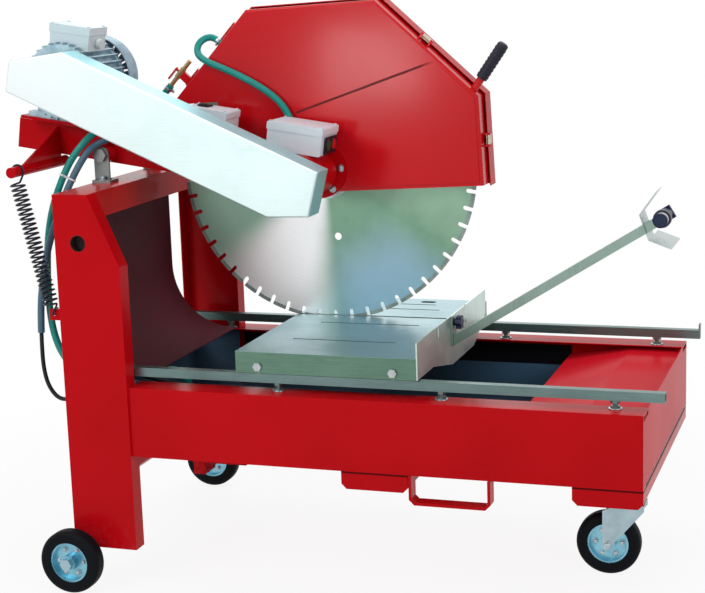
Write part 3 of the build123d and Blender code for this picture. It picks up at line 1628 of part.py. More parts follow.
cords = {
    "water_hose": (
        hose_radius,
        [
            beside(rim(0, valve_tail), valve_side, valve_out),
            beside(rim(0, valve_tail - hose_lead), valve_side, valve_out),
            (-505, 76.8, 1328.6),
            (-519.6, 58.1, 1313.8),
            (-529.1, 33.3, 1304.9),
            (-534, -6.3, 1301),
            (-541, -60, 1297),
            (-551, -112, 1290),
            (-567, -160, 1276),
            (-589, -195, 1254),
            (-618, -214, 1222),
            (-648, -228, 1180),
            (-670, -245, 1128),
            (-692, -264, 1060),
            (-702, -284, 985),
            (-704, -299, 905),
            (-702, -309, 825),
            (-696, -317, 750),
            (-682, -325, 690),
            (-656, -334, 640),
            (-620, -341, 608),
            (-575, -342, 593),
            (-520, -338, 589),
            (-450, -336, 592),
            (-404, -330.6, 597),
            (-377.6, -321, 598.4),
            (-356.2, -303, 598.4),
            (-342.2, -278.8, 598.4),
            (-329.3, -256.4, 587.7),
            (-319.4, -239.3, 567.9),
            (-314, -230, 542),
            (-314, -230, 514),
        ],
    ),
    "spray_hose": (
        hose_radius,
        [
            beside(rim(0, spray_along), spray_side, 0),
            beside(rim(0, spray_along), spray_side, hose_lead),
            (-346, 80, 1506),
            (-366, 64, 1488),
            (-364, 50, 1460),
            (-338, 46, 1440),
            (-296, 46, 1423),
            (-240, 47, 1400),
            (-180, 46, 1370),
            (-125, 47, 1334),
            (inlet_x - inlet_run * inlet_dir[0], inlet_place[1], inlet_place[2] - inlet_run * inlet_dir[2]),
            (inlet_x, *inlet_place[1:]),
        ],
    ),
    "cable_conduit": (
        hose_radius,
        [
            (cable_entry_x, arm_near, cable_entry_z),
            (cable_entry_x, -160, cable_entry_z),
            (-594, -206, 1215),
            (-622, -228, 1168),
            (-645, -252, 1112),
            (-666, -280, 1045),
            (-683, -305, 975),
            (-697, -326, 900),
            (-706, -338, 825),
            (-711, -344, 760),
            (-712, -346, 705),
        ],
    ),
    "pump_cable": (
        cable_radius,
        [
            (-712, -346, 705),
            (-713, -348, 650),
            (-711, -348, 595),
            (-700, -347, 548),
            (-674, -345, 514),
            (-642, -341, 510),
            (-617, -333, 534),
            (-602, -322, 569),
            (-568, -313, 596),
            (-500, -314, 592),
            (-432, -312, 588),
            (-394, -297, 574),
            (-362, -281, 562),
            (-328, -267, 552),
            (-300, -256, 540),
            (-286, -250, 518),
            (-286, -250, 492),
        ],
    ),
}
for cord_name, (cord_radius, places) in cords.items():
    route = [at(*place) for place in places]
    runs = [there - here for here, there in zip(route, route[1:])]
    bends = []
    for before, after in zip(runs, runs[1:]):
        half_turn = radians(before.get_angle(after)) / 2
        bends.append(bend_share * min(before.length, after.length) / tan(half_turn))
    with BuildPart() as cord:
        with BuildLine() as path:
            FilletPolyline(*route, radius=bends)
        with BuildSketch(Plane(origin=route[0], z_dir=runs[0])):
            Circle(cord_radius)
        sweep()
    keep(cord, cord_name)
    whole = sum(edge.length for edge in path.edges())
    print(cord_name, "length", round(whole), "radii", [round(b) for b in bends])
    print(" volume share", round(cord.part.volume / (pi * cord_radius**2 * whole), 4))
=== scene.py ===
"""Block saw for stone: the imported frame, dressed with finishes, fasteners, hoses and a spring."""

import math

import bmesh
import bpy
from mathutils import Matrix, Vector


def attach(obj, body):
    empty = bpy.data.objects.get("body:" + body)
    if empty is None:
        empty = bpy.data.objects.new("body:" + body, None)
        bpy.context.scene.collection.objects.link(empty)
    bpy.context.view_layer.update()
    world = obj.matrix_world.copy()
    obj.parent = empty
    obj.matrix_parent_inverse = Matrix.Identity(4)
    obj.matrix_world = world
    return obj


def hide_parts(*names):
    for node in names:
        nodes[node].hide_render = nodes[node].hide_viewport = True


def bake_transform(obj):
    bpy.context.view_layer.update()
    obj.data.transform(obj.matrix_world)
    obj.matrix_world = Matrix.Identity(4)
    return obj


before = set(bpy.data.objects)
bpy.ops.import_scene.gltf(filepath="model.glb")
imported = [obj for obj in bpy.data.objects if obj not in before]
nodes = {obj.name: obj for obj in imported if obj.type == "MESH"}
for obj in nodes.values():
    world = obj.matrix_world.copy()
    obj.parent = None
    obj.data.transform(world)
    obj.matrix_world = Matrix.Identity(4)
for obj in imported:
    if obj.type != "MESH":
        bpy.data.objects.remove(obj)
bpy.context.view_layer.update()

# Places that finishes and fittings share, in metres
blade_axis = (-0.0861, 0.116, 1.122)
arm_origin = (-0.08609, 0.0, 1.122)
arm_along = Vector((0.9892, 0.0, -0.1466))
arm_up = Vector((0.1466, 0.0, 0.9892))
laser_x, laser_z = 0.9038, 1.01097
laser_place = (laser_x, 0.0, laser_z)
terminal_y = -0.104


# Shader expressions


class Value:
    """A socket whose sums and products add Math nodes."""

    def __init__(self, shade, socket):
        self.shade = shade
        self.socket = socket

    def maths(self, operation, *others, **settings):
        inputs = {n: v for n, v in enumerate((self, *others))}
        return self.shade.node("ShaderNodeMath", {"operation": operation, **settings}, inputs)

    def __abs__(self):
        return self.maths("ABSOLUTE")

    def __add__(self, other):
        return self.maths("ADD", other)

    def __sub__(self, other):
        return self.maths("SUBTRACT", other)

    def __mul__(self, other):
        return self.maths("MULTIPLY", other)

    def __truediv__(self, other):
        return self.maths("DIVIDE", other)

    def __rsub__(self, other):
        return self.shade.node("ShaderNodeMath", {"operation": "SUBTRACT"}, {0: other, 1: self})

    def most(self, *others):
        """The greatest of several values."""
        best = self
        for other in others:
            best = best.maths("MAXIMUM", other)
        return best

    def clamped(self):
        return self.maths("ADD", 0.0, use_clamp=True)


class Shade:
    """One material under construction."""

    def __init__(self, name):
        self.material = bpy.data.materials.new(name)
        self.material.use_nodes = True
        self.tree = self.material.node_tree
        self.skin = next(n for n in self.tree.nodes if n.type == "BSDF_PRINCIPLED")
        self.place = None

    def node(self, kind, settings=None, inputs=None, output=0):
        made = self.tree.nodes.new(kind)
        for key, value in (settings or {}).items():
            setattr(made, key, value)
        for key, value in (inputs or {}).items():
            self.feed(made.inputs[key], value)
        return Value(self, made.outputs[output])

    def feed(self, socket, value):
        if isinstance(value, Value):
            self.tree.links.new(value.socket, socket)
        else:
            socket.default_value = value

    def where(self):
        if self.place is None:
            self.place = self.node("ShaderNodeTexCoord", output="Object")
        return self.place

    def scaled(self, scale, centre=(0, 0, 0), turn=(0, 0, 0)):
        """Object place, moved to a centre, turned and stretched."""
        moved = self.node("ShaderNodeVectorMath", {"operation": "SUBTRACT"}, {0: self.where(), 1: centre})
        return self.node("ShaderNodeMapping", {}, {"Vector": moved, "Rotation": turn, "Scale": scale})

    def noise(self, scale, detail=3.0, roughness=0.55, stretch=(1, 1, 1), turn=(0, 0, 0)):
        spot = self.scaled(stretch, turn=turn)
        inputs = {"Vector": spot, "Scale": scale, "Detail": detail, "Roughness": roughness}
        return self.node("ShaderNodeTexNoise", {}, inputs)

    def ramp(self, value, low, high, start=0.0, stop=1.0):
        return self.node(
            "ShaderNodeMapRange",
            {"clamp": True, "interpolation_type": "SMOOTHSTEP"},
            {"Value": value, "From Min": low, "From Max": high, "To Min": start, "To Max": stop},
        )

    def axis(self, name):
        split = self.tree.nodes.new("ShaderNodeSeparateXYZ")
        self.tree.links.new(self.where().socket, split.inputs[0])
        return Value(self, split.outputs[name])

    def dot(self, spot, way):
        """Distance of a place along a direction."""
        inputs = {0: spot, 1: way}
        return self.node("ShaderNodeVectorMath", {"operation": "DOT_PRODUCT"}, inputs, output="Value")

    def length(self, spot):
        return self.node("ShaderNodeVectorMath", {"operation": "LENGTH"}, {0: spot}, output="Value")

    def mix(self, factor, first, second):
        made = self.tree.nodes.new("ShaderNodeMix")
        made.data_type = "RGBA"
        self.feed(made.inputs[0], factor)
        for socket, value in ((made.inputs[6], first), (made.inputs[7], second)):
            self.feed(socket, value if isinstance(value, Value) else (*value, 1.0))
        return Value(self, made.outputs[2])

    def bump(self, height, strength, distance):
        inputs = {"Height": height, "Strength": strength, "Distance": distance}
        return self.node("ShaderNodeBump", {}, inputs)

    def cover(self, factor, shader):
        """Lays a second shader over the skin."""
        out = next(n for n in self.tree.nodes if n.type == "OUTPUT_MATERIAL")
        under = Value(self, self.skin.outputs[0])
        both = self.node("ShaderNodeMixShader", {}, {0: factor, 1: under, 2: shader})
        self.feed(out.inputs["Surface"], both)

    def finish(self, **inputs):
        for key, value in inputs.items():
            socket = self.skin.inputs[key.replace("_", " ")]
            if isinstance(value, tuple) and len(value) == 3 and len(socket.default_value) == 4:
                value = (*value, 1.0)
            self.feed(socket, value)
        return self.material


# Masks: each pair is a soft edge, from where it starts to where it is whole, in metres


def tank_lining(s):
    """Inner faces of the trough's sides, up to a line under the top flange."""
    side, foot, head, end = (0.4222, 0.4208), (0.382, 0.3835), (0.552, 0.549), (0.575, 0.57)
    upright = s.ramp(s.axis("Z"), *foot) * s.ramp(s.axis("Z"), *head)
    return s.ramp(abs(s.axis("Y")), *side) * upright * s.ramp(s.axis("X"), *end)


def inner_bands_and_reflection(s):
    """Colour of the trough's inner faces: near black above a level, dark blue below it, and paler blue
    towards the ramp as a painted reflection.
    """
    upper_black, lower_blue, reflected_blue = (0.008, 0.007, 0.009), (0.02, 0.035, 0.055), (0.09, 0.19, 0.3)
    line, fade = (0.4885, 0.4865), (0.1, 0.5)
    lower_band = s.mix(s.ramp(s.axis("X"), *fade), lower_blue, reflected_blue)
    return s.mix(s.ramp(s.axis("Z"), *line), upper_black, lower_band)


def tank_outside(s):
    """Outer faces of the rear pan, and the floor's underside."""
    pan_back, floor_under = (-0.659, -0.6598), (0.3856, 0.3848)
    pan_side, pan_front = (0.3766, 0.3774), (-0.4965, -0.4975)
    back = s.ramp(s.axis("X"), *pan_back)
    under = s.ramp(s.axis("Z"), *floor_under)
    cheek = s.ramp(abs(s.axis("Y")), *pan_side) * s.ramp(s.axis("X"), *pan_front)
    return back.most(under, cheek)


def channel_gap(s):
    """Shadow line where a cross channel meets the trough's side."""
    channel_top = (0.3735, 0.3755)
    return s.ramp(s.axis("Z"), *channel_top)


def axle_ends(s):
    """The stub axles and their nuts, outside the beam."""
    beam_end = (0.4655, 0.4665)
    return s.ramp(abs(s.axis("Y")), *beam_end)


def plate_edge(s):
    """Shadow line along the upper edge of the hood's doubling plate."""
    corner = (-0.15094, 0.0, 1.28714)
    edge_along, edge_over = (0.9466, 0, 0.3223), (-0.3223, 0, 0.9466)
    line_middle, line_half = 0.001, (0.0042, 0.0024)
    start, fade, face = (-0.004, 0.0), (0.44, 0.38), (0.064, 0.0615)
    spot = s.scaled((1, 1, 1), corner)
    along = s.dot(spot, edge_along)
    line = s.ramp(abs(s.dot(spot, edge_over) - line_middle), *line_half)
    return line * s.ramp(along, *start) * s.ramp(along, *fade) * s.ramp(s.axis("Y"), *face)


def laser_ring(s):
    """The clamp ring at the laser bar's tip."""
    ring_edge = (0.0262, 0.0255)
    return s.ramp(s.length(s.scaled((1, 0, 1), laser_place)), *ring_edge)


def table_face_sheen(s):
    """The working face of the table, lightened by a painted reflection."""
    face_level = (0.6845, 0.6851)
    return s.ramp(s.axis("Z"), *face_level)


def visor_wings(s):
    """The folded sheet across the laser bar's tip, clear of the bar itself."""
    bar_along, bar_aside = (0.8528, 0, 0.5223), (-0.5223, 0, 0.8528)
    bar_half, visor_start = (0.013, 0.0138), (-0.09, -0.08)
    spot = s.scaled((1, 0, 1), laser_place)
    clear = s.ramp(abs(s.dot(spot, bar_aside)), *bar_half)
    return clear * s.ramp(s.dot(spot, bar_along), *visor_start)


def terminal_box(s):
    """The box on the motor's back, in the saw arm's own axes."""
    middle, half_length, half_depth, foot = -0.7085, (0.0765, 0.076), (0.0555, 0.055), (0.2655, 0.2665)
    spot = s.scaled((1, 1, 1), arm_origin)
    length = s.ramp(abs(s.dot(spot, arm_along) - middle), *half_length)
    depth = s.ramp(abs(s.axis("Y") - terminal_y), *half_depth)
    return s.ramp(s.dot(spot, arm_up), *foot) * length * depth


# Kinds of finish


def gloss_paint(name, colour, deep, dust=(0.3, 0.16, 0.15), rough=0.22, patch=None, gloss=0.06):
    """Sprayed enamel: orange peel, a slight drift of tone, dust near the floor, maybe a patch that is another
    finish on some parts and painted shade or reflection on others.
    """
    dust_reach = (0.24, 0.05)
    s = Shade(name)
    drift = s.ramp(s.noise(1.7, detail=2.0), 0.25, 0.75)
    peel = s.noise(150.0, detail=2.0)
    low = s.ramp(s.axis("Z"), *dust_reach)
    soil = s.ramp(s.noise(60.0, detail=5.0, roughness=0.7), 0.45, 0.85) * low * 0.3
    body = s.mix(soil, s.mix(drift, colour, deep), dust)
    dull = drift * 0.06 + soil * 0.5 + rough
    metal = 0.0
    # A patch is another finish on the axle and the pan, a painted shadow line on the hood and the channels,
    # and near black and blue bands, partly a painted reflection, inside the trough.
    if patch:
        place, patch_colour, patch_metal, patch_rough = patch
        spot = place(s)
        body = s.mix(spot, body, patch_colour(s) if callable(patch_colour) else patch_colour)
        dull = dull + (patch_rough - dull) * spot
        metal = spot * patch_metal
    return s.finish(
        Base_Color=body,
        Metallic=metal,
        Roughness=dull.clamped(),
        Specular_IOR_Level=gloss,
        Coat_Weight=0.02,
        Coat_Roughness=0.06,
        Normal=s.bump(peel, strength=0.05, distance=0.0005),
    )


def brushed(name, colour, dark, along="X", rough=0.3, marks=1.0, painted_reflections=None, patch=None, tone_and_sheen=None):
    """Rolled stainless with fine lines along one axis, smears and a few scratches; maybe painted reflections
    on an end and a lip, a lighter part (a painted reflection on the table's face, the visor's own tone on the
    laser bar) and a patch of another finish.
    """
    reflection_reach, lip_reach = (-0.35, -0.85), (-0.2985, -0.292)
    scratch_stretch, scratch_turn = (0.12, 1.0, 1.0), (0.0, 0.0, 0.6)
    s = Shade(name)
    stretch = {"X": (0.03, 1.0, 1.0), "Y": (1.0, 0.03, 1.0), "Z": (1.0, 1.0, 0.03)}[along]
    lines = s.noise(520.0, 2.0, 0.6, stretch)
    smear = s.noise(4.5, detail=4.0, roughness=0.6)
    scratch = s.ramp(s.noise(46.0, 2.0, 0.5, scratch_stretch, scratch_turn), 0.66, 0.7) * marks
    shade = s.ramp(lines, 0.3, 0.7) * 0.3 + s.ramp(smear, 0.3, 0.75) * 0.5
    body = s.mix((shade + scratch * 0.15).clamped(), colour, dark)
    # Painted reflections: a paler end towards -X, and a tinted lip on the faces behind the near face.
    if painted_reflections:
        face, lip_reflection = painted_reflections
        body = s.mix(s.ramp(s.axis("X"), *reflection_reach) * 0.8, body, face)
        body = s.mix(s.ramp(s.axis("Y"), *lip_reach), body, lip_reflection)
    # A lighter part: a painted reflection on the table's face, the visor's own tone on the laser bar.
    if tone_and_sheen:
        place, lighter_tone = tone_and_sheen
        body = s.mix(place(s), body, lighter_tone)
    metal = 0.92
    if patch:
        place, patch_colour = patch
        spot = place(s)
        body = s.mix(spot, body, patch_colour)
        metal = metal - spot * metal
    return s.finish(
        Base_Color=body,
        Metallic=metal,
        Roughness=(s.ramp(lines, 0.3, 0.7, rough, rough + 0.12) + s.ramp(smear, 0.4, 0.7) * 0.1).clamped(),
        Normal=s.bump(lines, strength=0.1, distance=0.0004),
    )


def moulded(name, colour, worn, rough=0.45, grain=420.0, strength=0.15, fleck=None, gloss=0.3):
    """Moulded plastic or rubber with a fine grain, rubbed patches and maybe pale flecks."""
    s = Shade(name)
    grit = s.noise(grain, detail=2.0)
    rub = s.ramp(s.noise(16.0, detail=4.0, roughness=0.65), 0.45, 0.82)
    body = s.mix(rub * 0.55, colour, worn)
    if fleck:
        body = s.mix(s.ramp(s.noise(230.0, roughness=0.7), 0.62, 0.78) * 0.7, body, fleck)
    return s.finish(
        Base_Color=body,
        Roughness=s.ramp(rub, 0.0, 1.0, rough, rough + 0.14),
        Specular_IOR_Level=gloss,
        Normal=s.bump(grit, strength, distance=0.0005),
    )


def plated(name, colour, stain, rough=0.28, metal=1.0, patch=None):
    """Zinc, brass or metal paint with faint cloudy patches, and maybe a place of another finish."""
    s = Shade(name)
    cloud = s.ramp(s.noise(24.0, detail=4.0, roughness=0.6), 0.3, 0.75)
    fine = s.noise(260.0, detail=2.0)
    body = s.mix(cloud, colour, stain)
    dull = cloud * 0.16 + rough
    if patch:
        place, patch_colour, patch_metal, patch_rough = patch
        spot = place(s)
        body = s.mix(spot, body, patch_colour)
        dull = dull + (patch_rough - dull) * spot
        metal = spot * (patch_metal - metal) + metal
    grain = s.bump(fine, strength=0.08, distance=0.0003)
    return s.finish(Base_Color=body, Metallic=metal, Roughness=dull, Normal=grain)


def disc_steel(name, centre):
    """Ground saw disc: green fields with fine rings, stains and specks, under painted reflections: pale, grey
    and blue fans round the arbor and a paler left side.
    """
    green, shadow, grime = (0.19, 0.35, 0.24), (0.13, 0.26, 0.17), (0.3, 0.34, 0.32)
    blue_reflection, grey_reflection, white_reflection = (0.3, 0.47, 0.64), (0.4, 0.54, 0.42), (0.9, 0.93, 0.94)
    mint_reflection, mint_reflection_reach = (0.48, 0.84, 0.67), (centre[0] - 0.1, centre[0] - 0.4)
    s = Shade(name)
    flat = s.scaled((1, 0, 1), centre)
    radius = s.length(flat)

    def reflection_fan(degrees, start, stop):
        """Two opposite sectors of the disc, for a painted reflection."""
        way = (math.cos(math.radians(degrees)), 0, math.sin(math.radians(degrees)))
        return s.ramp((s.dot(flat, way) / radius).maths("POWER", 2.0), start, stop)

    ring_inputs = {"W": radius, "Scale": 420.0, "Detail": 3.0}
    rings = s.node("ShaderNodeTexNoise", {"noise_dimensions": "1D"}, ring_inputs)
    stain = s.noise(5.0, detail=5.0, roughness=0.6)
    speck = s.ramp(s.noise(120.0, roughness=0.7), 0.68, 0.8)
    field = s.mix(s.ramp(stain, 0.3, 0.75), green, shadow)
    # Painted reflections over the stained field: blue, grey and white fans and a paler left side.
    field = s.mix(reflection_fan(-64, 0.7, 1.0) * s.ramp(radius, 0.16, 0.36) * 0.75, field, blue_reflection)
    field = s.mix(reflection_fan(-18, 0.93, 1.0) * 0.25, field, grey_reflection)
    field = s.mix(s.ramp(s.axis("X"), *mint_reflection_reach) * 0.8, field, mint_reflection)
    field = s.mix(reflection_fan(-116, 0.72, 0.97), field, white_reflection)
    shade = s.ramp(rings, 0.3, 0.7) * 0.14 + speck * 0.2
    return s.finish(
        Base_Color=s.mix(shade.clamped(), field, grime),
        Metallic=0.9,
        Roughness=(s.ramp(rings, 0.3, 0.7, 0.3, 0.38) + s.ramp(stain, 0.4, 0.75) * 0.1).clamped(),
        Normal=s.bump(rings, strength=0.06, distance=0.0003),
    )


# Finishes of this machine

deep_red = ((0.58, 0.003, 0.008), (0.47, 0.002, 0.005))
red = gloss_paint("red_enamel", *deep_red)
# The trough's inner faces are near black above a level and blue below it; the paler blue towards the ramp is
# a painted reflection.
lined_red = gloss_paint("lined_red_enamel", *deep_red, patch=(tank_lining, inner_bands_and_reflection, 0.0, 0.4))
# The hood's red is a lighter, lit copy of the frame's enamel: painted light. Its patch is a painted shadow
# line along the doubling plate.
hood_red_lit = gloss_paint(
    "hood_enamel_lit", (0.66, 0.006, 0.012), (0.56, 0.004, 0.008), rough=0.13,
    patch=(plate_edge, (0.14, 0.001, 0.003), 0.0, 0.4), gloss=0.22,
)
# The sloped end plate's brighter red is a lit copy of the frame's enamel: painted light.
end_red_lit = gloss_paint("end_enamel_lit", (0.66, 0.01, 0.022), (0.56, 0.006, 0.014), gloss=0.012)
# The dark line along the channels' top is a painted shadow.
channel_red = gloss_paint("channel_enamel", *deep_red, patch=(channel_gap, (0.1, 0.001, 0.002), 0.0, 0.5))
axle_red = gloss_paint("axle_enamel", *deep_red, patch=(axle_ends, (0.36, 0.5, 0.56), 1.0, 0.3))
# The splash shield's dark maroon is the red enamel in shade, painted in; its pale flecks are dirt.
shield_red_in_shade = moulded(
    "shield_sheet_in_shade", (0.07, 0.005, 0.012), (0.13, 0.01, 0.025), 0.7, 160.0, 0.3, fleck=(0.24, 0.05, 0.08)
)
tray_dark = gloss_paint(
    "tray_coat", (0.08, 0.14, 0.21), (0.06, 0.11, 0.17), dust=(0.08, 0.09, 0.1), rough=0.25,
    patch=(tank_outside, deep_red[0], 0.0, 0.3), gloss=0.2,
)
# The table's lighter working face is a painted reflection.
table_steel = brushed(
    "table_stainless", (0.14, 0.25, 0.185), (0.075, 0.14, 0.1), "X", 0.3,
    tone_and_sheen=(table_face_sheen, (0.25, 0.38, 0.41)),
)
fence_steel = brushed("fence_stainless", (0.6, 0.72, 0.68), (0.42, 0.52, 0.48), "Z", 0.34)
rail_steel = brushed("rail_stainless", (0.17, 0.26, 0.25), (0.09, 0.135, 0.13), "X", 0.26, 0.4)
bar_steel = brushed(
    "bar_stainless", (0.3, 0.41, 0.36), (0.19, 0.27, 0.23), "Z", 0.3, 0.4,
    patch=(laser_ring, (0.008, 0.009, 0.03)), tone_and_sheen=(visor_wings, (0.5, 0.56, 0.56)),
)
bracket_steel = brushed("bracket_stainless", (0.3, 0.32, 0.31), (0.15, 0.16, 0.16), "Z", 0.34, 0.5)
disc = disc_steel("saw_disc_steel", blade_axis)
segment = plated("sintered_segment", (0.3, 0.36, 0.33), (0.19, 0.24, 0.22), 0.5, 0.8)
turned = plated("turned_steel", (0.5, 0.54, 0.55), (0.34, 0.38, 0.4), 0.28)
# The guard's pale end and its tinted lip are painted reflections.
guard_paint = brushed(
    "guard_silver", (0.66, 0.79, 0.79), (0.56, 0.69, 0.68), "X", 0.38, 0.3,
    painted_reflections=((0.74, 0.78, 0.78), (0.36, 0.64, 0.68)),
)
motor_cast = plated(
    "motor_casting", (0.46, 0.6, 0.66), (0.26, 0.37, 0.44), 0.42, 0.55,
    patch=(terminal_box, (0.62, 0.73, 0.77), 0.1, 0.4),
)
cowl_paint = plated("cowl_paint", (0.3, 0.42, 0.5), (0.18, 0.27, 0.34), 0.4, 0.5)
tyre_rubber = moulded(
    "tyre_rubber", (0.003, 0.004, 0.006), (0.008, 0.009, 0.011), 0.62, 300.0, 0.25, gloss=0.1
)
zinc = plated("zinc_plate", (0.42, 0.53, 0.57), (0.33, 0.44, 0.49), 0.3)
rim_zinc = plated("rim_zinc", (0.26, 0.54, 0.66), (0.17, 0.4, 0.5), 0.24)
bolt_zinc = plated("bolt_zinc", (0.5, 0.58, 0.62), (0.32, 0.38, 0.42), 0.26)
brass = plated("valve_brass", (0.66, 0.5, 0.24), (0.44, 0.32, 0.14), 0.28)
latch_metal = plated("latch_metal", (0.56, 0.5, 0.4), (0.36, 0.3, 0.22), 0.26)
box_plastic = moulded("box_plastic", (0.72, 0.8, 0.86), (0.64, 0.72, 0.79), 0.38, 320.0, 0.08)
black_plastic = moulded("black_plastic", (0.008, 0.009, 0.014), (0.025, 0.026, 0.032), 0.4, 360.0, 0.12)
knob_plastic = moulded("knob_plastic", (0.008, 0.016, 0.05), (0.02, 0.03, 0.07), 0.36, 360.0, 0.1)
grip_rubber = moulded("grip_rubber", (0.008, 0.009, 0.02), (0.03, 0.03, 0.04), 0.5, 300.0, 0.2)
green_cap = moulded("green_cap", (0.006, 0.06, 0.02), (0.01, 0.1, 0.035), 0.3, 300.0, 0.05)
red_cap = moulded("red_cap", (0.6, 0.006, 0.01), (0.66, 0.03, 0.03), 0.3, 300.0, 0.05)
hose_rubber = moulded("teal_hose", (0.006, 0.27, 0.23), (0.03, 0.42, 0.38), 0.32, 240.0, 0.1)
conduit_plastic = moulded("conduit_plastic", (0.07, 0.15, 0.21), (0.13, 0.23, 0.3), 0.36, 260.0, 0.1)
cable_rubber = moulded("cable_rubber", (0.008, 0.008, 0.012), (0.03, 0.03, 0.035), 0.5, 300.0, 0.15)
spring_paint = moulded("spring_paint", (0.01, 0.012, 0.026), (0.05, 0.05, 0.06), 0.35, 300.0, 0.1)
hole_shade = moulded("hole_shade", (0.016, 0.006, 0.005), (0.03, 0.012, 0.01), 0.6, 300.0, 0.1)
label_white = moulded("blank_label", (0.8, 0.82, 0.82), (0.7, 0.72, 0.72), 0.4, 260.0, 0.04)

finishes = {
    red: "near_post far_post cross_beam fork_straps arm_beam motor_plate hood_cover spindle_housing",
    lined_red: "trough_near_side trough_far_side",
    end_red_lit: "trough_end",
    channel_red: "mid_channel caster_channel",
    axle_red: "axle_beam",
    hood_red_lit: "hood_near",
    tray_dark: "trough_floor",
    shield_red_in_shade: "splash_shield",
    rail_steel: "near_rail far_rail rail_feet",
    table_steel: "table_top",
    fence_steel: "table_fence",
    bar_steel: "laser_bar",
    bracket_steel: "pivot_brackets pivot_pin",
    latch_metal: "latch_upper latch_lower",
    disc: "saw_blade",
    segment: "blade_segments",
    turned: "blade_flanges spindle motor_shaft roller_axle_left roller_axle_right",
    guard_paint: "belt_guard",
    motor_cast: "motor_body",
    cowl_paint: "motor_cowl",
    cable_rubber: "v_belts",
    tyre_rubber: "near_tyre far_tyre caster_tyre",
    zinc: "caster_fork",
    rim_zinc: "near_rim far_rim caster_rim",
    box_plastic: "switch_box plug_box",
    green_cap: "start_button",
    red_cap: "stop_button valve_handle",
    brass: "water_valve",
    black_plastic: "water_pump",
    knob_plastic: "clamp_knob laser_unit",
    grip_rubber: "handle_grip",
}
for material, names in finishes.items():
    for name in names.split():
        nodes[name].data.materials.clear()
        nodes[name].data.materials.append(material)


# Camera, floor and light

photo_width = 705
focal_pixels = 1621.56
camera_place = Vector((1.4955, -4.3162, 1.6734))
turn, lift, roll = (math.radians(a) for a in (18.88, 11.248, -1.908))
backwards = Vector((math.sin(turn) * math.cos(lift), -math.cos(turn) * math.cos(lift), math.sin(lift)))
level = Vector((math.cos(turn), math.sin(turn), 0))
upwards = backwards.cross(level)
right_hand = level * math.cos(roll) + upwards * math.sin(roll)
upright = upwards * math.cos(roll) - level * math.sin(roll)
camera_data = bpy.data.cameras.new("camera")
camera_data.sensor_width = 36.0
camera_data.lens = focal_pixels / photo_width * camera_data.sensor_width
camera = bpy.data.objects.new("camera", camera_data)
bpy.context.collection.objects.link(camera)
stand = Matrix((right_hand, upright, backwards)).transposed().to_4x4()
stand.translation = camera_place
camera.matrix_world = stand
bpy.context.scene.camera = camera
bpy.context.scene.view_settings.view_transform = "Standard"

# The floor and the sky are plain white to the eye and in reflections, and dimmer as sources of light
white = (1.0, 1.0, 1.0, 1.0)
ray_kinds = ("Camera", "Glossy", "Transmission")
floor_width, floor_drop = 60.0, 0.0005
glow_near, glow_far, least_glow = 0.7, 2.6, 0.9
sky_light = 0.32
bpy.ops.object.select_all(action="DESELECT")
bpy.ops.mesh.primitive_plane_add(size=floor_width, location=(0, 0, -floor_drop))
floor = bpy.context.object
floor.name = "floor"
paper = Shade("studio_floor")
floor.data.materials.append(
    paper.finish(Base_Color=(0.86, 0.86, 0.86), Roughness=0.9, Specular_IOR_Level=0.1)
)
seen, *others = [paper.node("ShaderNodeLightPath", output=f"Is {kind} Ray") for kind in ray_kinds]
glow = paper.node("ShaderNodeEmission", {}, {"Color": white, "Strength": 1.0})
away = paper.length(paper.where())
paper.cover(seen.most(*others) * paper.ramp(away, glow_near, glow_far, least_glow, 1.0), glow)

world = bpy.data.worlds.new("studio")
bpy.context.scene.world = world
world.use_nodes = True
sky = world.node_tree
sky_colour = next(n for n in sky.nodes if n.type == "BACKGROUND")
sky_rays = sky.nodes.new("ShaderNodeLightPath")
shown = sky_rays.outputs[f"Is {ray_kinds[0]} Ray"]
for kind in ray_kinds[1:]:
    either = sky.nodes.new("ShaderNodeMath")
    either.operation = "MAXIMUM"
    sky.links.new(shown, either.inputs[0])
    sky.links.new(sky_rays.outputs[f"Is {kind} Ray"], either.inputs[1])
    shown = either.outputs[0]
strength = sky.nodes.new("ShaderNodeMapRange")
strength.inputs["To Min"].default_value = sky_light
strength.inputs["To Max"].default_value = 1.0
sky.links.new(shown, strength.inputs["Value"])
sky_colour.inputs["Color"].default_value = white
sky.links.new(strength.outputs[0], sky_colour.inputs["Strength"])


def lamp(name, place, aim, size, power):
    """A soft box that looks at a point."""
    data = bpy.data.lights.new(name, "AREA")
    data.shape = "RECTANGLE"
    data.size, data.size_y = size
    data.energy = power
    made = bpy.data.objects.new(name, data)
    bpy.context.collection.objects.link(made)
    made.location = place
    made.rotation_euler = (Vector(aim) - Vector(place)).to_track_quat("-Z", "Y").to_euler()


lamp("key_box", (-2.2, -3.6, 3.6), (0, 0, 0.8), (2.2, 2.2), 74)
lamp("hood_box", (-1.05, -3.44, 1.23), (0.08, 0.06, 1.43), (0.5, 0.35), 6)
lamp("fill_box", (3.6, -2.4, 2.4), (0, 0, 0.8), (2.0, 2.0), 50)
lamp("top_box", (0.4, 0.6, 4.4), (0, 0, 0.6), (3.0, 3.0), 60)
lamp("back_box", (-1.5, 4.0, 3.0), (0, 0, 0.9), (2.4, 2.4), 25)


# Ways of shaping a piece


def deselect():
    """Leaves edit mode with nothing selected."""
    if bpy.context.object and bpy.context.object.mode != "OBJECT":
        bpy.ops.object.mode_set(mode="OBJECT")
    bpy.ops.object.select_all(action="DESELECT")


def take(thing):
    """Makes a piece the only one selected."""
    deselect()
    bpy.context.view_layer.objects.active = thing
    thing.select_set(True)


def settle(thing):
    """Puts the place of a piece in its mesh."""
    take(thing)
    bpy.ops.object.transform_apply(location=True, rotation=True, scale=True)
    return thing


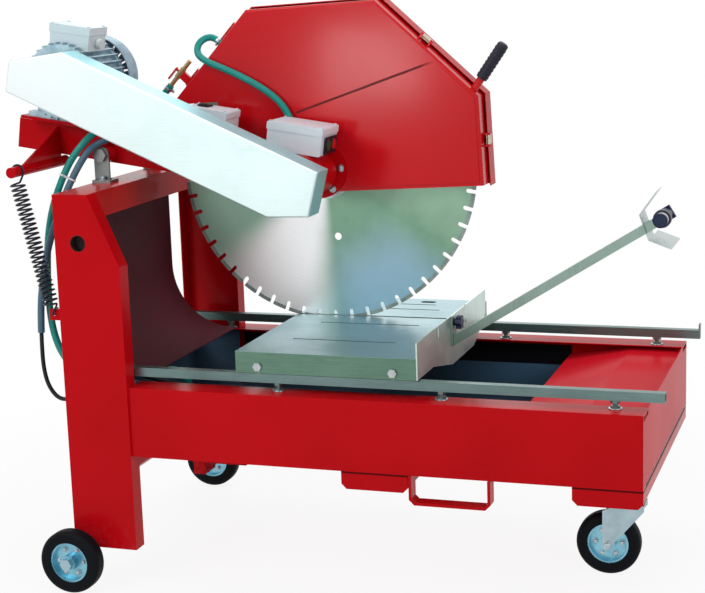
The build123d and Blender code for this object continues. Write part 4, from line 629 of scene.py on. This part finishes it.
def apply_all(thing):
    """Applies a piece's modifiers."""
    take(thing)
    for change in list(thing.modifiers):
        bpy.ops.object.modifier_apply(modifier=change.name)
    return thing


def tidy_normals(thing, merge=1e-5):
    """Merges doubles and points all faces outwards."""
    take(thing)
    bpy.ops.object.mode_set(mode="EDIT")
    bpy.ops.mesh.select_all(action="SELECT")
    bpy.ops.mesh.remove_doubles(threshold=merge)
    bpy.ops.mesh.normals_make_consistent(inside=False)
    bpy.ops.object.mode_set(mode="OBJECT")
    return thing


def fuse(name, things):
    """Joins pieces into the first one."""
    deselect()
    for thing in things:
        thing.select_set(True)
    bpy.context.view_layer.objects.active = things[0]
    if len(things) > 1:
        bpy.ops.object.join()
    things[0].name = name
    return things[0]


def smooth(thing, angle=35.0):
    take(thing)
    bpy.ops.object.shade_smooth_by_angle(angle=math.radians(angle))
    return thing


def choose(thing, test):
    """Edit mode with only the faces selected whose centre and normal pass a test."""
    take(thing)
    bpy.ops.object.mode_set(mode="EDIT")
    bpy.ops.mesh.select_mode(type="FACE")
    bpy.ops.mesh.select_all(action="DESELECT")
    shape = bmesh.from_edit_mesh(thing.data)
    for face in shape.faces:
        face.select_set(test(face.calc_center_median(), face.normal))
    bmesh.update_edit_mesh(thing.data)


def faces_up(centre, normal):
    return normal.z > 0.9


def drum(radius, low, high, sides=32):
    """An upright round bar between two levels."""
    deselect()
    bpy.ops.mesh.primitive_cylinder_add(
        vertices=sides, radius=radius, depth=high - low, location=(0, 0, (low + high) / 2)
    )
    return settle(bpy.context.object)


def tube(outer, inner, low, high, sides=40):
    """An upright ring or pipe between two levels."""
    body = drum(outer, low, high, sides)
    choose(body, lambda centre, normal: abs(normal.z) > 0.9)
    bpy.ops.mesh.inset(thickness=outer - inner, use_individual=True)
    bpy.ops.mesh.bridge_edge_loops()
    return tidy_normals(body)


def block(low, high):
    deselect()
    middle = [(a + b) / 2 for a, b in zip(low, high)]
    bpy.ops.mesh.primitive_cube_add(size=1.0, location=middle, scale=[b - a for a, b in zip(low, high)])
    return settle(bpy.context.object)


def soften(thing, width, steps=2, angle=30.0):
    """Rounds the sharp edges."""
    edge = thing.modifiers.new("edge", "BEVEL")
    edge.width = width
    edge.segments = steps
    edge.limit_method = "ANGLE"
    edge.angle_limit = math.radians(angle)
    return apply_all(thing)


def standing(place, axis, turn=0.0):
    """Pose of a model that was made upright at the origin."""
    tilt = Vector((0, 0, 1)).rotation_difference(Vector(axis)).to_matrix().to_4x4()
    return Matrix.Translation(place) @ tilt @ Matrix.Rotation(turn, 4, "Z")


def dress(piece, material):
    piece.data.materials.clear()
    piece.data.materials.append(material)


def set_out(name, model, poses, body, material):
    """Copies of one model, joined as one piece on a body."""
    copies = []
    for pose in poses:
        mesh = model.data.copy()
        mesh.transform(pose)
        copies.append(bpy.data.objects.new(name, mesh))
        bpy.context.collection.objects.link(copies[-1])
    bpy.data.objects.remove(model)
    piece = smooth(fuse(name, copies))
    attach(piece, body)
    dress(piece, material)


# Hoses, cables and the spring


def route_curve(name, points, radius, material):
    """One smooth open NURBS line with a round section."""
    data = bpy.data.curves.new(name, "CURVE")
    data.dimensions = "3D"
    line = data.splines.new("NURBS")
    line.points.add(len(points) - 1)
    for knot, place in zip(line.points, points):
        knot.co = (*place, 1.0)
    line.order_u = 3
    line.use_endpoint_u = True
    line.resolution_u = 8
    data.bevel_depth = radius
    data.bevel_resolution = 5
    data.use_fill_caps = True
    data.materials.append(material)
    made = bpy.data.objects.new(name, data)
    bpy.context.collection.objects.link(made)
    return made


def evaluated(thing):
    """The mesh of a piece as it stands."""
    bpy.context.view_layer.update()
    return bpy.data.meshes.new_from_object(thing.evaluated_get(bpy.context.evaluated_depsgraph_get()))


def as_mesh(thing):
    """The same piece as a mesh object under the same name, and its line's points."""
    pipe = evaluated(thing)
    thing.data.bevel_depth = 0.0
    thing.data.use_fill_caps = False
    places = [v.co.copy() for v in evaluated(thing).vertices]
    name = thing.name
    material = thing.data.materials[0]
    bpy.data.objects.remove(thing)
    made = bpy.data.objects.new(name, pipe)
    pipe.materials.clear()
    pipe.materials.append(material)
    bpy.context.collection.objects.link(made)
    for face in pipe.polygons:
        face.use_smooth = True
    return made, places


water_route = [
    (-0.5544, 0.087, 1.3681), (-0.5733, 0.087, 1.3475), (-0.5911, 0.0768, 1.3286), (-0.6057, 0.0581, 1.3138),
    (-0.6152, 0.0333, 1.3049), (-0.6201, -0.0063, 1.301), (-0.6271, -0.06, 1.297), (-0.6371, -0.112, 1.29),
    (-0.6531, -0.16, 1.276), (-0.6751, -0.195, 1.254), (-0.7041, -0.214, 1.222), (-0.7341, -0.228, 1.18),
    (-0.7561, -0.245, 1.128), (-0.7781, -0.264, 1.06), (-0.7881, -0.284, 0.985), (-0.7901, -0.299, 0.905),
    (-0.7881, -0.309, 0.825), (-0.7821, -0.317, 0.75), (-0.7681, -0.325, 0.69), (-0.7421, -0.334, 0.64),
    (-0.7061, -0.341, 0.608), (-0.6611, -0.342, 0.593), (-0.6061, -0.338, 0.589), (-0.5361, -0.336, 0.592),
    (-0.4901, -0.3306, 0.597), (-0.4637, -0.321, 0.5984), (-0.4423, -0.303, 0.5984),
    (-0.4283, -0.2788, 0.5984), (-0.4154, -0.2564, 0.5877), (-0.4055, -0.2393, 0.5679),
    (-0.4001, -0.23, 0.542), (-0.4001, -0.23, 0.514),
]
spray_route = [
    (-0.3868, 0.088, 1.4858), (-0.4074, 0.088, 1.5047), (-0.4321, 0.08, 1.506), (-0.4521, 0.064, 1.488),
    (-0.4501, 0.05, 1.46), (-0.4241, 0.046, 1.44), (-0.3821, 0.046, 1.423), (-0.3261, 0.047, 1.4),
    (-0.2661, 0.046, 1.37), (-0.2111, 0.047, 1.334), (-0.1741, 0.046, 1.292), (-0.1581, 0.046, 1.248),
]
conduit_route = [
    (-0.6561, -0.12, 1.232), (-0.6561, -0.16, 1.232), (-0.6801, -0.206, 1.215), (-0.7081, -0.228, 1.168),
    (-0.7311, -0.252, 1.112), (-0.7521, -0.28, 1.045), (-0.7691, -0.305, 0.975), (-0.7831, -0.326, 0.9),
    (-0.7921, -0.338, 0.825), (-0.7971, -0.344, 0.76), (-0.7981, -0.346, 0.705),
]
pump_route = [
    (-0.7981, -0.346, 0.705), (-0.7991, -0.348, 0.65), (-0.7971, -0.348, 0.595), (-0.7861, -0.347, 0.548),
    (-0.7601, -0.345, 0.514), (-0.7281, -0.341, 0.51), (-0.7031, -0.333, 0.534), (-0.6881, -0.322, 0.569),
    (-0.6541, -0.313, 0.596), (-0.5861, -0.314, 0.592), (-0.5181, -0.312, 0.588), (-0.4801, -0.297, 0.574),
    (-0.4481, -0.281, 0.562), (-0.4141, -0.267, 0.552), (-0.3861, -0.256, 0.54), (-0.3721, -0.25, 0.518),
    (-0.3721, -0.25, 0.492),
]
hose_radius = 0.01
cable_radius = 0.006

water_line, water_places = as_mesh(route_curve("water_line", water_route, hose_radius, hose_rubber))
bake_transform(water_line)
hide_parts("water_hose")

# White tie round the hose and the conduit
tie_way = Vector((-0.386, -0.298, -0.912)).normalized()
tie_hose = Vector((-0.7506, -0.2408, 1.141))
tie_conduit = Vector((-0.723, -0.2436, 1.1316))
tie_across = tie_conduit - tie_hose
tie_across -= tie_way * tie_across.dot(tie_way)
tie_span = tie_across.length
tie_across.normalize()
tie_middle = tie_span / 2
tie_gap, tie_width, tie_wall = 0.0008, 0.0048, 0.0013
tie_radius = hose_radius + tie_gap
lock_half, lock_height, lock_over, lock_round = 0.004, 0.006, 0.0008, 0.0008
tail_thick, tail_root, tail_tip, tail_inset, tail_round = 0.0012, 0.005, 0.021, 0.0004, 0.0004
deselect()
bpy.ops.mesh.primitive_circle_add(vertices=40, radius=tie_radius, fill_type="NOTHING")
strap = bpy.context.object
bpy.ops.object.mode_set(mode="EDIT")
bpy.ops.mesh.select_all(action="DESELECT")
outline = bmesh.from_edit_mesh(strap.data)
for corner in outline.verts:
    corner.select_set(corner.co.x > 1e-6)
bmesh.update_edit_mesh(strap.data)
bpy.ops.transform.translate(value=(tie_span, 0, 0))
bpy.ops.mesh.select_all(action="SELECT")
bpy.ops.mesh.extrude_region_move(TRANSFORM_OT_translate={"value": (0, 0, tie_width)})
bpy.ops.object.mode_set(mode="OBJECT")
tidy_normals(strap)
wall = strap.modifiers.new("wall", "SOLIDIFY")
wall.thickness = tie_wall
wall.offset = 1.0
apply_all(strap)
lock_low = (tie_middle - lock_half, tie_radius, -lock_over)
lock_high = (tie_middle + lock_half, tie_radius + lock_height, tie_width + lock_over)
lock = soften(block(lock_low, lock_high), lock_round)
tail_low = (tie_middle - tail_thick, tie_radius + tail_root, tail_inset)
tail_high = (tie_middle, tie_radius + tail_tip, tie_width - tail_inset)
tail = soften(block(tail_low, tail_high), tail_round)
hose_tie = fuse("hose_tie", [strap, lock, tail])
tie_pose = Matrix((tie_across, tie_way.cross(tie_across), tie_way)).transposed().to_4x4()
tie_pose.translation = tie_hose
hose_tie.data.transform(tie_pose)
dress(smooth(hose_tie), label_white)
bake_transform(hose_tie)

conduit_curve = route_curve("conduit_line", conduit_route, hose_radius, conduit_plastic)
conduit_line, conduit_places = as_mesh(conduit_curve)
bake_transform(conduit_line)
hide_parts("cable_conduit")

spray_line = route_curve("spray_line", spray_route, hose_radius, hose_rubber)
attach(spray_line, "arm")
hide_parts("spray_hose")

pump_line = route_curve("pump_line", pump_route, cable_radius, cable_rubber)
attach(pump_line, "frame")
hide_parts("pump_cable")

# The spring: a screwed coil with a hook over the arm's bar and one through the post's lug
wire_radius, wire_sides = 0.0028, 10
coil_radius, coil_rounds, coil_steps = 0.019, 25, 22
coil_sweep, coil_length, coil_start = 160.8426, 0.34829, 0.0315
first_angle = 2.04551
last_angle = first_angle + coil_sweep
spring_top = Vector((-0.82509, -0.385, 1.16602))
spring_down = Vector((0.22985, 0.0, -0.97323)).normalized()
spring_side = Vector((0, 1, 0))
spring_forward = spring_down.cross(spring_side)


def coil_out(angle):
    return spring_forward * math.cos(angle) + spring_side * math.sin(angle)


def coil_way(angle):
    """Direction of the wire, looking down the coil."""
    return spring_side * math.cos(angle) - spring_forward * math.sin(angle)


deselect()
bpy.ops.mesh.primitive_circle_add(
    vertices=wire_sides, radius=wire_radius, location=(coil_radius, 0, 0), rotation=(math.pi / 2, 0, 0),
    fill_type="NGON",
)
coil = settle(bpy.context.object)
wind = coil.modifiers.new("wind", "SCREW")
wind.axis = "Z"
wind.angle = -coil_sweep / coil_rounds
wind.screw_offset = coil_length / coil_rounds
wind.iterations = coil_rounds
wind.steps = wind.render_steps = coil_steps
apply_all(coil)
first_out = coil_out(first_angle)
coil_pose = Matrix((first_out, spring_down.cross(first_out), spring_down)).transposed().to_4x4()
coil_pose.translation = spring_top + spring_down * coil_start
coil.data.transform(coil_pose)
coil.data.materials.append(spring_paint)

bar_radius, bar_clear, bar_offset = 0.015, 0.0006, 0.0192
lead, lead_bend, lead_rise = 0.006, 0.009, 0.004
hook_first, hook_last, hook_step = -40, 210, 25
hook_reach = bar_radius + wire_radius + bar_clear
loop_middle = spring_top + spring_side * bar_offset
coil_first = spring_top + first_out * coil_radius + spring_down * coil_start
start_way = -coil_way(first_angle)
top_hook = [
    coil_first,
    coil_first + start_way * lead,
    coil_first + start_way * lead_bend - spring_down * lead_rise,
]
for degrees in range(hook_first, hook_last + 1, hook_step):
    swing = math.radians(degrees)
    reach = spring_forward * math.cos(swing) - spring_down * math.sin(swing)
    top_hook.append(loop_middle + reach * hook_reach)
coil_last = spring_top + coil_out(last_angle) * coil_radius + spring_down * (coil_start + coil_length)
low_hook = [
    coil_last,
    coil_last + coil_way(last_angle) * lead,
    (-0.7185, -0.389, 0.7965),
    (-0.7215, -0.3945, 0.787),
    (-0.7285, -0.3958, 0.776),
    (-0.7311, -0.3915, 0.7688),
    (-0.7311, -0.385, 0.7676),
    (-0.7311, -0.3785, 0.7688),
    (-0.7285, -0.374, 0.7765),
    (-0.7245, -0.3742, 0.786),
]
hook_routes = {"hook_a": top_hook, "hook_b": low_hook}
hooks = [as_mesh(route_curve(n, p, wire_radius, spring_paint))[0] for n, p in hook_routes.items()]
balance_spring = smooth(tidy_normals(fuse("balance_spring", [coil, *hooks])), angle=60.0)
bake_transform(balance_spring)
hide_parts("counter_spring")


# Fasteners and small fittings

up = (0, 0, 1)
near = (0, -1, 0)
far = (0, 1, 0)
arm_pose = Matrix((arm_along, (0, 1, 0), arm_up)).transposed().to_4x4()
arm_pose.translation = arm_origin


def hex_bolt(across, height, washer, thick=0.002, edge=0.0004):
    """A hexagon head with a chamfered top on a washer."""
    plate = soften(drum(washer, 0.0, thick, sides=28), edge)
    head = drum(across / 2 / math.cos(math.pi / 6), thick, thick + height, sides=6)
    choose(head, faces_up)
    bpy.ops.mesh.inset(thickness=0.1 * across, depth=0.05 * across)
    return fuse("bolt", [plate, soften(head, edge)])


def pan_screw(radius):
    """A pan head with a socket: its dome, its land and its pit are shares of the radius."""
    head = drum(radius, 0.0, 0.4 * radius, sides=24)
    choose(head, faces_up)
    for inset, rise in ((0.22, 0.2), (0.28, 0.0), (0.06, -0.3)):
        bpy.ops.mesh.inset(thickness=inset * radius, depth=rise * radius)
    deselect()
    return head


def hose_clamp(inner, width):
    """A worm-drive band with its screw housing."""
    wall, house_half, house_height, house_over, house_round = 0.0012, 0.007, 0.0075, 0.0006, 0.0016
    worm_radius, worm_low, worm_high, worm_rise = 0.0036, -0.0115, 0.0065, 0.0042
    band = soften(tube(inner + wall, inner, -width / 2, width / 2), 0.0003)
    house_low = (inner, -house_half, -width / 2 - house_over)
    house_high = (inner + house_height, house_half, width / 2 + house_over)
    house = soften(block(house_low, house_high), house_round)
    worm = drum(worm_radius, worm_low, worm_high, sides=6)
    worm_pose = Matrix.Translation((inner + worm_rise, 0, 0)) @ Matrix.Rotation(math.pi / 2, 4, "X")
    worm.data.transform(worm_pose)
    return fuse("clamp", [band, house, soften(worm, 0.0004)])


foot_xs = (-0.5191, -0.0751, 0.3809, 0.8349)
rail_y, rim_top = 0.366, 0.577
washer_outer, washer_bore, washer_thick = 0.0175, 0.0065, 0.0026
washer_ring = soften(tube(washer_outer, washer_bore, 0.0, washer_thick), 0.0006)
washer_poses = [standing((x, y, rim_top), up) for x in foot_xs for y in (-rail_y, rail_y)]
set_out("rail_washers", washer_ring, washer_poses, "frame", bolt_zinc)

bracket_x, bracket_y, bracket_bolt, bracket_plate = -0.6591, 0.167, 0.02, 0.008
post_top, bracket_turn = 1.11196, 0.3
bracket_poses = [
    standing((bracket_x, side * bracket_y + step, post_top + bracket_plate), up, bracket_turn)
    for side in (-1, 1) for step in (-bracket_bolt, bracket_bolt)
]
bracket_head = hex_bolt(across=0.013, height=0.008, washer=0.0115)
set_out("bracket_bolts", bracket_head, bracket_poses, "frame", bolt_zinc)

axle_z, caster_x, fork_face = 0.09, 0.7559, 0.036
caster_poses = [standing((caster_x, side[1] * fork_face, axle_z), side) for side in (near, far)]
caster_nut = hex_bolt(across=0.019, height=0.008, washer=0.0125)
set_out("caster_nuts", caster_nut, caster_poses, "caster", bolt_zinc)

rim_bolt_ring, rim_bolts, web_half = 0.037, 6, 0.003
wheel_x, wheel_y = -0.6641, 0.497
wheels = {"near_wheel": (wheel_x, -wheel_y), "far_wheel": (wheel_x, wheel_y), "caster_wheel": (caster_x, 0.0)}
for body, (x, y) in wheels.items():
    rim_poses = []
    for n in range(rim_bolts):
        swing = 2 * math.pi * n / rim_bolts
        reach = Vector((rim_bolt_ring * math.cos(swing), 0, rim_bolt_ring * math.sin(swing)))
        for side in (near, far):
            spot = Vector((x, y + side[1] * web_half, axle_z)) + reach
            rim_poses.append(standing(spot, side, swing))
    rim_head = hex_bolt(across=0.011, height=0.006, washer=0.0078)
    set_out(f"{body}_bolts", rim_head, rim_poses, body, bolt_zinc)

flange_face, flange_ring, flange_bolts, flange_first = 0.05, 0.065, 6, 15
flange_poses = []
for n in range(flange_bolts):
    swing = math.radians(flange_first + 360 / flange_bolts * n)
    spot = arm_pose @ Vector((flange_ring * math.cos(swing), flange_face, flange_ring * math.sin(swing)))
    flange_poses.append(standing(spot, near, swing))
flange_head = hex_bolt(across=0.013, height=0.008, washer=0.011)
set_out("flange_bolts", flange_head, flange_poses, "arm", bolt_zinc)


def lid_corners(alongs, ys, level):
    """Poses at a lid's four corners, from places in the saw arm's axes."""
    return [standing(arm_pose @ Vector((a, y, level)), arm_up) for a in alongs for y in ys]


screw_radius = 0.0045
switch_lid, plug_lid, terminal_lid = 0.143, 0.146, 0.333
screw_poses = lid_corners((-0.109, 0.042), (-0.092, 0.026), switch_lid)
screw_poses += lid_corners((-0.37, -0.251), (-0.084, 0.004), plug_lid)
set_out("box_lid_screws", pan_screw(screw_radius), screw_poses, "arm", bolt_zinc)
screw_poses = lid_corners((-0.7725, -0.6605), (-0.15, -0.058), terminal_lid)
set_out("terminal_lid_screws", pan_screw(screw_radius), screw_poses, "arm", bolt_zinc)
gland_radius, gland_height, gland_round = 0.0145, 0.0125, 0.003
gland_place = Vector((-0.6535, terminal_y, 0.287))
gland_pose = standing(arm_pose @ gland_place, arm_along)
gland_nut = soften(drum(gland_radius, 0.0, gland_height, sides=28), gland_round)
set_out("terminal_gland_nut", gland_nut, [gland_pose], "arm", label_white)

# Hose clamps at the tap, the hood's inlet and the pump
clamp_gap, clamp_width, clamp_stand_off = 0.0002, 0.009, 0.014
clamp_radius = hose_radius + clamp_gap


def clamp_pose(route, turn):
    """Pose on the first straight of a route."""
    first, second = Vector(route[0]), Vector(route[1])
    way = (second - first).normalized()
    return standing(first + way * clamp_stand_off, way, turn)


arm_clamps = [
    clamp_pose(water_route, turn=2.0),
    clamp_pose(spray_route, turn=2.2),
    clamp_pose(spray_route[::-1], turn=0.6),
]
pump_clamps = [clamp_pose(water_route[::-1], turn=0.4)]
set_out("arm_hose_clamps", hose_clamp(clamp_radius, clamp_width), arm_clamps, "arm", bolt_zinc)
set_out("pump_hose_clamp", hose_clamp(clamp_radius, clamp_width), pump_clamps, "frame", bolt_zinc)

# Dark cup in the near post's hole: painted shade for the shadowed inside of the hole
cup_depth, cup_radius, cup_wall, cup_round = 0.03, 0.0229, 0.0014, 0.0005
cup_x, cup_z, post_face = -0.6181, 0.97796, -0.4315
cup = drum(cup_radius, 0.0, cup_depth, sides=48)
choose(cup, faces_up)
bpy.ops.mesh.inset(thickness=cup_wall)
bpy.ops.mesh.extrude_region_move(TRANSFORM_OT_translate={"value": (0, 0, cup_wall - cup_depth)})
deselect()
cup_pose = standing((cup_x, cup_depth + post_face, cup_z), near)
set_out("post_hole_shade_cup", soften(cup, cup_round), [cup_pose], "frame", hole_shade)

# Button plate on the switch box, with a collar round each button
plate_low, plate_high, plate_round = (0.05, -0.076, 0.067), (0.053, 0.02, 0.1165), 0.001
button_ys, button_level, button_bore = (-0.05, -0.006), 0.093, 0.0176
collar_outer, collar_height, collar_round = 0.0208, 0.0062, 0.0007
cutter_low, cutter_high = -0.01, 0.02
button_plate = soften(block(plate_low, plate_high), plate_round)
collars = []
for y in button_ys:
    pose = standing((plate_low[0], y, button_level), (1, 0, 0))
    cutter = drum(button_bore, cutter_low, cutter_high, sides=40)
    cutter.data.transform(pose)
    bore = button_plate.modifiers.new("bore", "BOOLEAN")
    bore.object = cutter
    bore.solver = "EXACT"
    apply_all(button_plate)
    bpy.data.objects.remove(cutter)
    collar = soften(tube(collar_outer, button_bore, 0.0, collar_height), collar_round)
    collar.data.transform(pose)
    collars.append(collar)
button_panel = fuse("plate", [button_plate, *collars])
set_out("button_plate", button_panel, [arm_pose], "arm", black_plastic)

# Clip on the plug box
clip_low, clip_high, clip_round = (-0.352, -0.052, plug_lid), (-0.318, -0.012, 0.1515), 0.002
catch_low, catch_high, catch_round = (-0.346, -0.056, 0.1495), (-0.324, -0.046, 0.156), 0.0018
clip = soften(block(clip_low, clip_high), clip_round)
catch = soften(block(catch_low, catch_high), catch_round)
set_out("plug_box_clip", fuse("clip", [clip, catch]), [arm_pose], "arm", black_plastic)

# Ribs on the handle's grip
grip_root, grip_way = Vector((0.3877, 0.09, 1.3781)), Vector((0.5736, 0.0, 0.8192))
rib_outer, rib_inner, rib_height, rib_round = 0.0171, 0.0145, 0.0055, 0.0012
rib_first, rib_step, ribs = 0.006, 0.0125, 8
rib = soften(tube(rib_outer, rib_inner, 0.0, rib_height), rib_round)
rib_poses = [standing(grip_root + grip_way * (rib_first + rib_step * n), grip_way) for n in range(ribs)]
set_out("grip_ribs", rib, rib_poses, "arm", grip_rubber)

# Blank label and ridged nose on the line laser
label_y, label_outer, label_inner, label_length = -0.0585, 0.01835, 0.0176, 0.017
nose_y, nose_outer, nose_inner, nose_length = -0.0735, 0.0188, 0.0172, 0.012
ridges, ridge_inset, ridge_rise = 36, 0.0004, 0.0005
label = tube(label_outer, label_inner, 0.0, label_length)
label_pose = standing((laser_x, label_y, laser_z), far)
set_out("laser_label", label, [label_pose], "laser_head", label_white)
nose = tube(nose_outer, nose_inner, 0.0, nose_length, ridges)
choose(nose, lambda centre, normal: abs(normal.z) < 0.5 and centre.xy.dot(normal.xy) > 0)
bpy.ops.mesh.inset(thickness=ridge_inset, depth=ridge_rise, use_individual=True)
deselect()
nose_pose = standing((laser_x, nose_y, laser_z), far)
set_out("laser_nose", nose, [nose_pose], "laser_head", knob_plastic)

# Strainer ribs round the pump's foot
pump_foot, strainer_ribs = Matrix.Translation((-0.3861, -0.23, 0.392)), 24
strainer_inner, strainer_outer, strainer_half, strainer_height = 0.0465, 0.0496, 0.0022, 0.05
strainer_low = (strainer_inner, -strainer_half, 0.0)
strainer_high = (strainer_outer, strainer_half, strainer_height)
pump_rib = soften(block(strainer_low, strainer_high), 0.0009)
pump_poses = [
    pump_foot @ Matrix.Rotation(2 * math.pi * n / strainer_ribs, 4, "Z") for n in range(strainer_ribs)
]
set_out("pump_strainer", pump_rib, pump_poses, "frame", black_plastic)
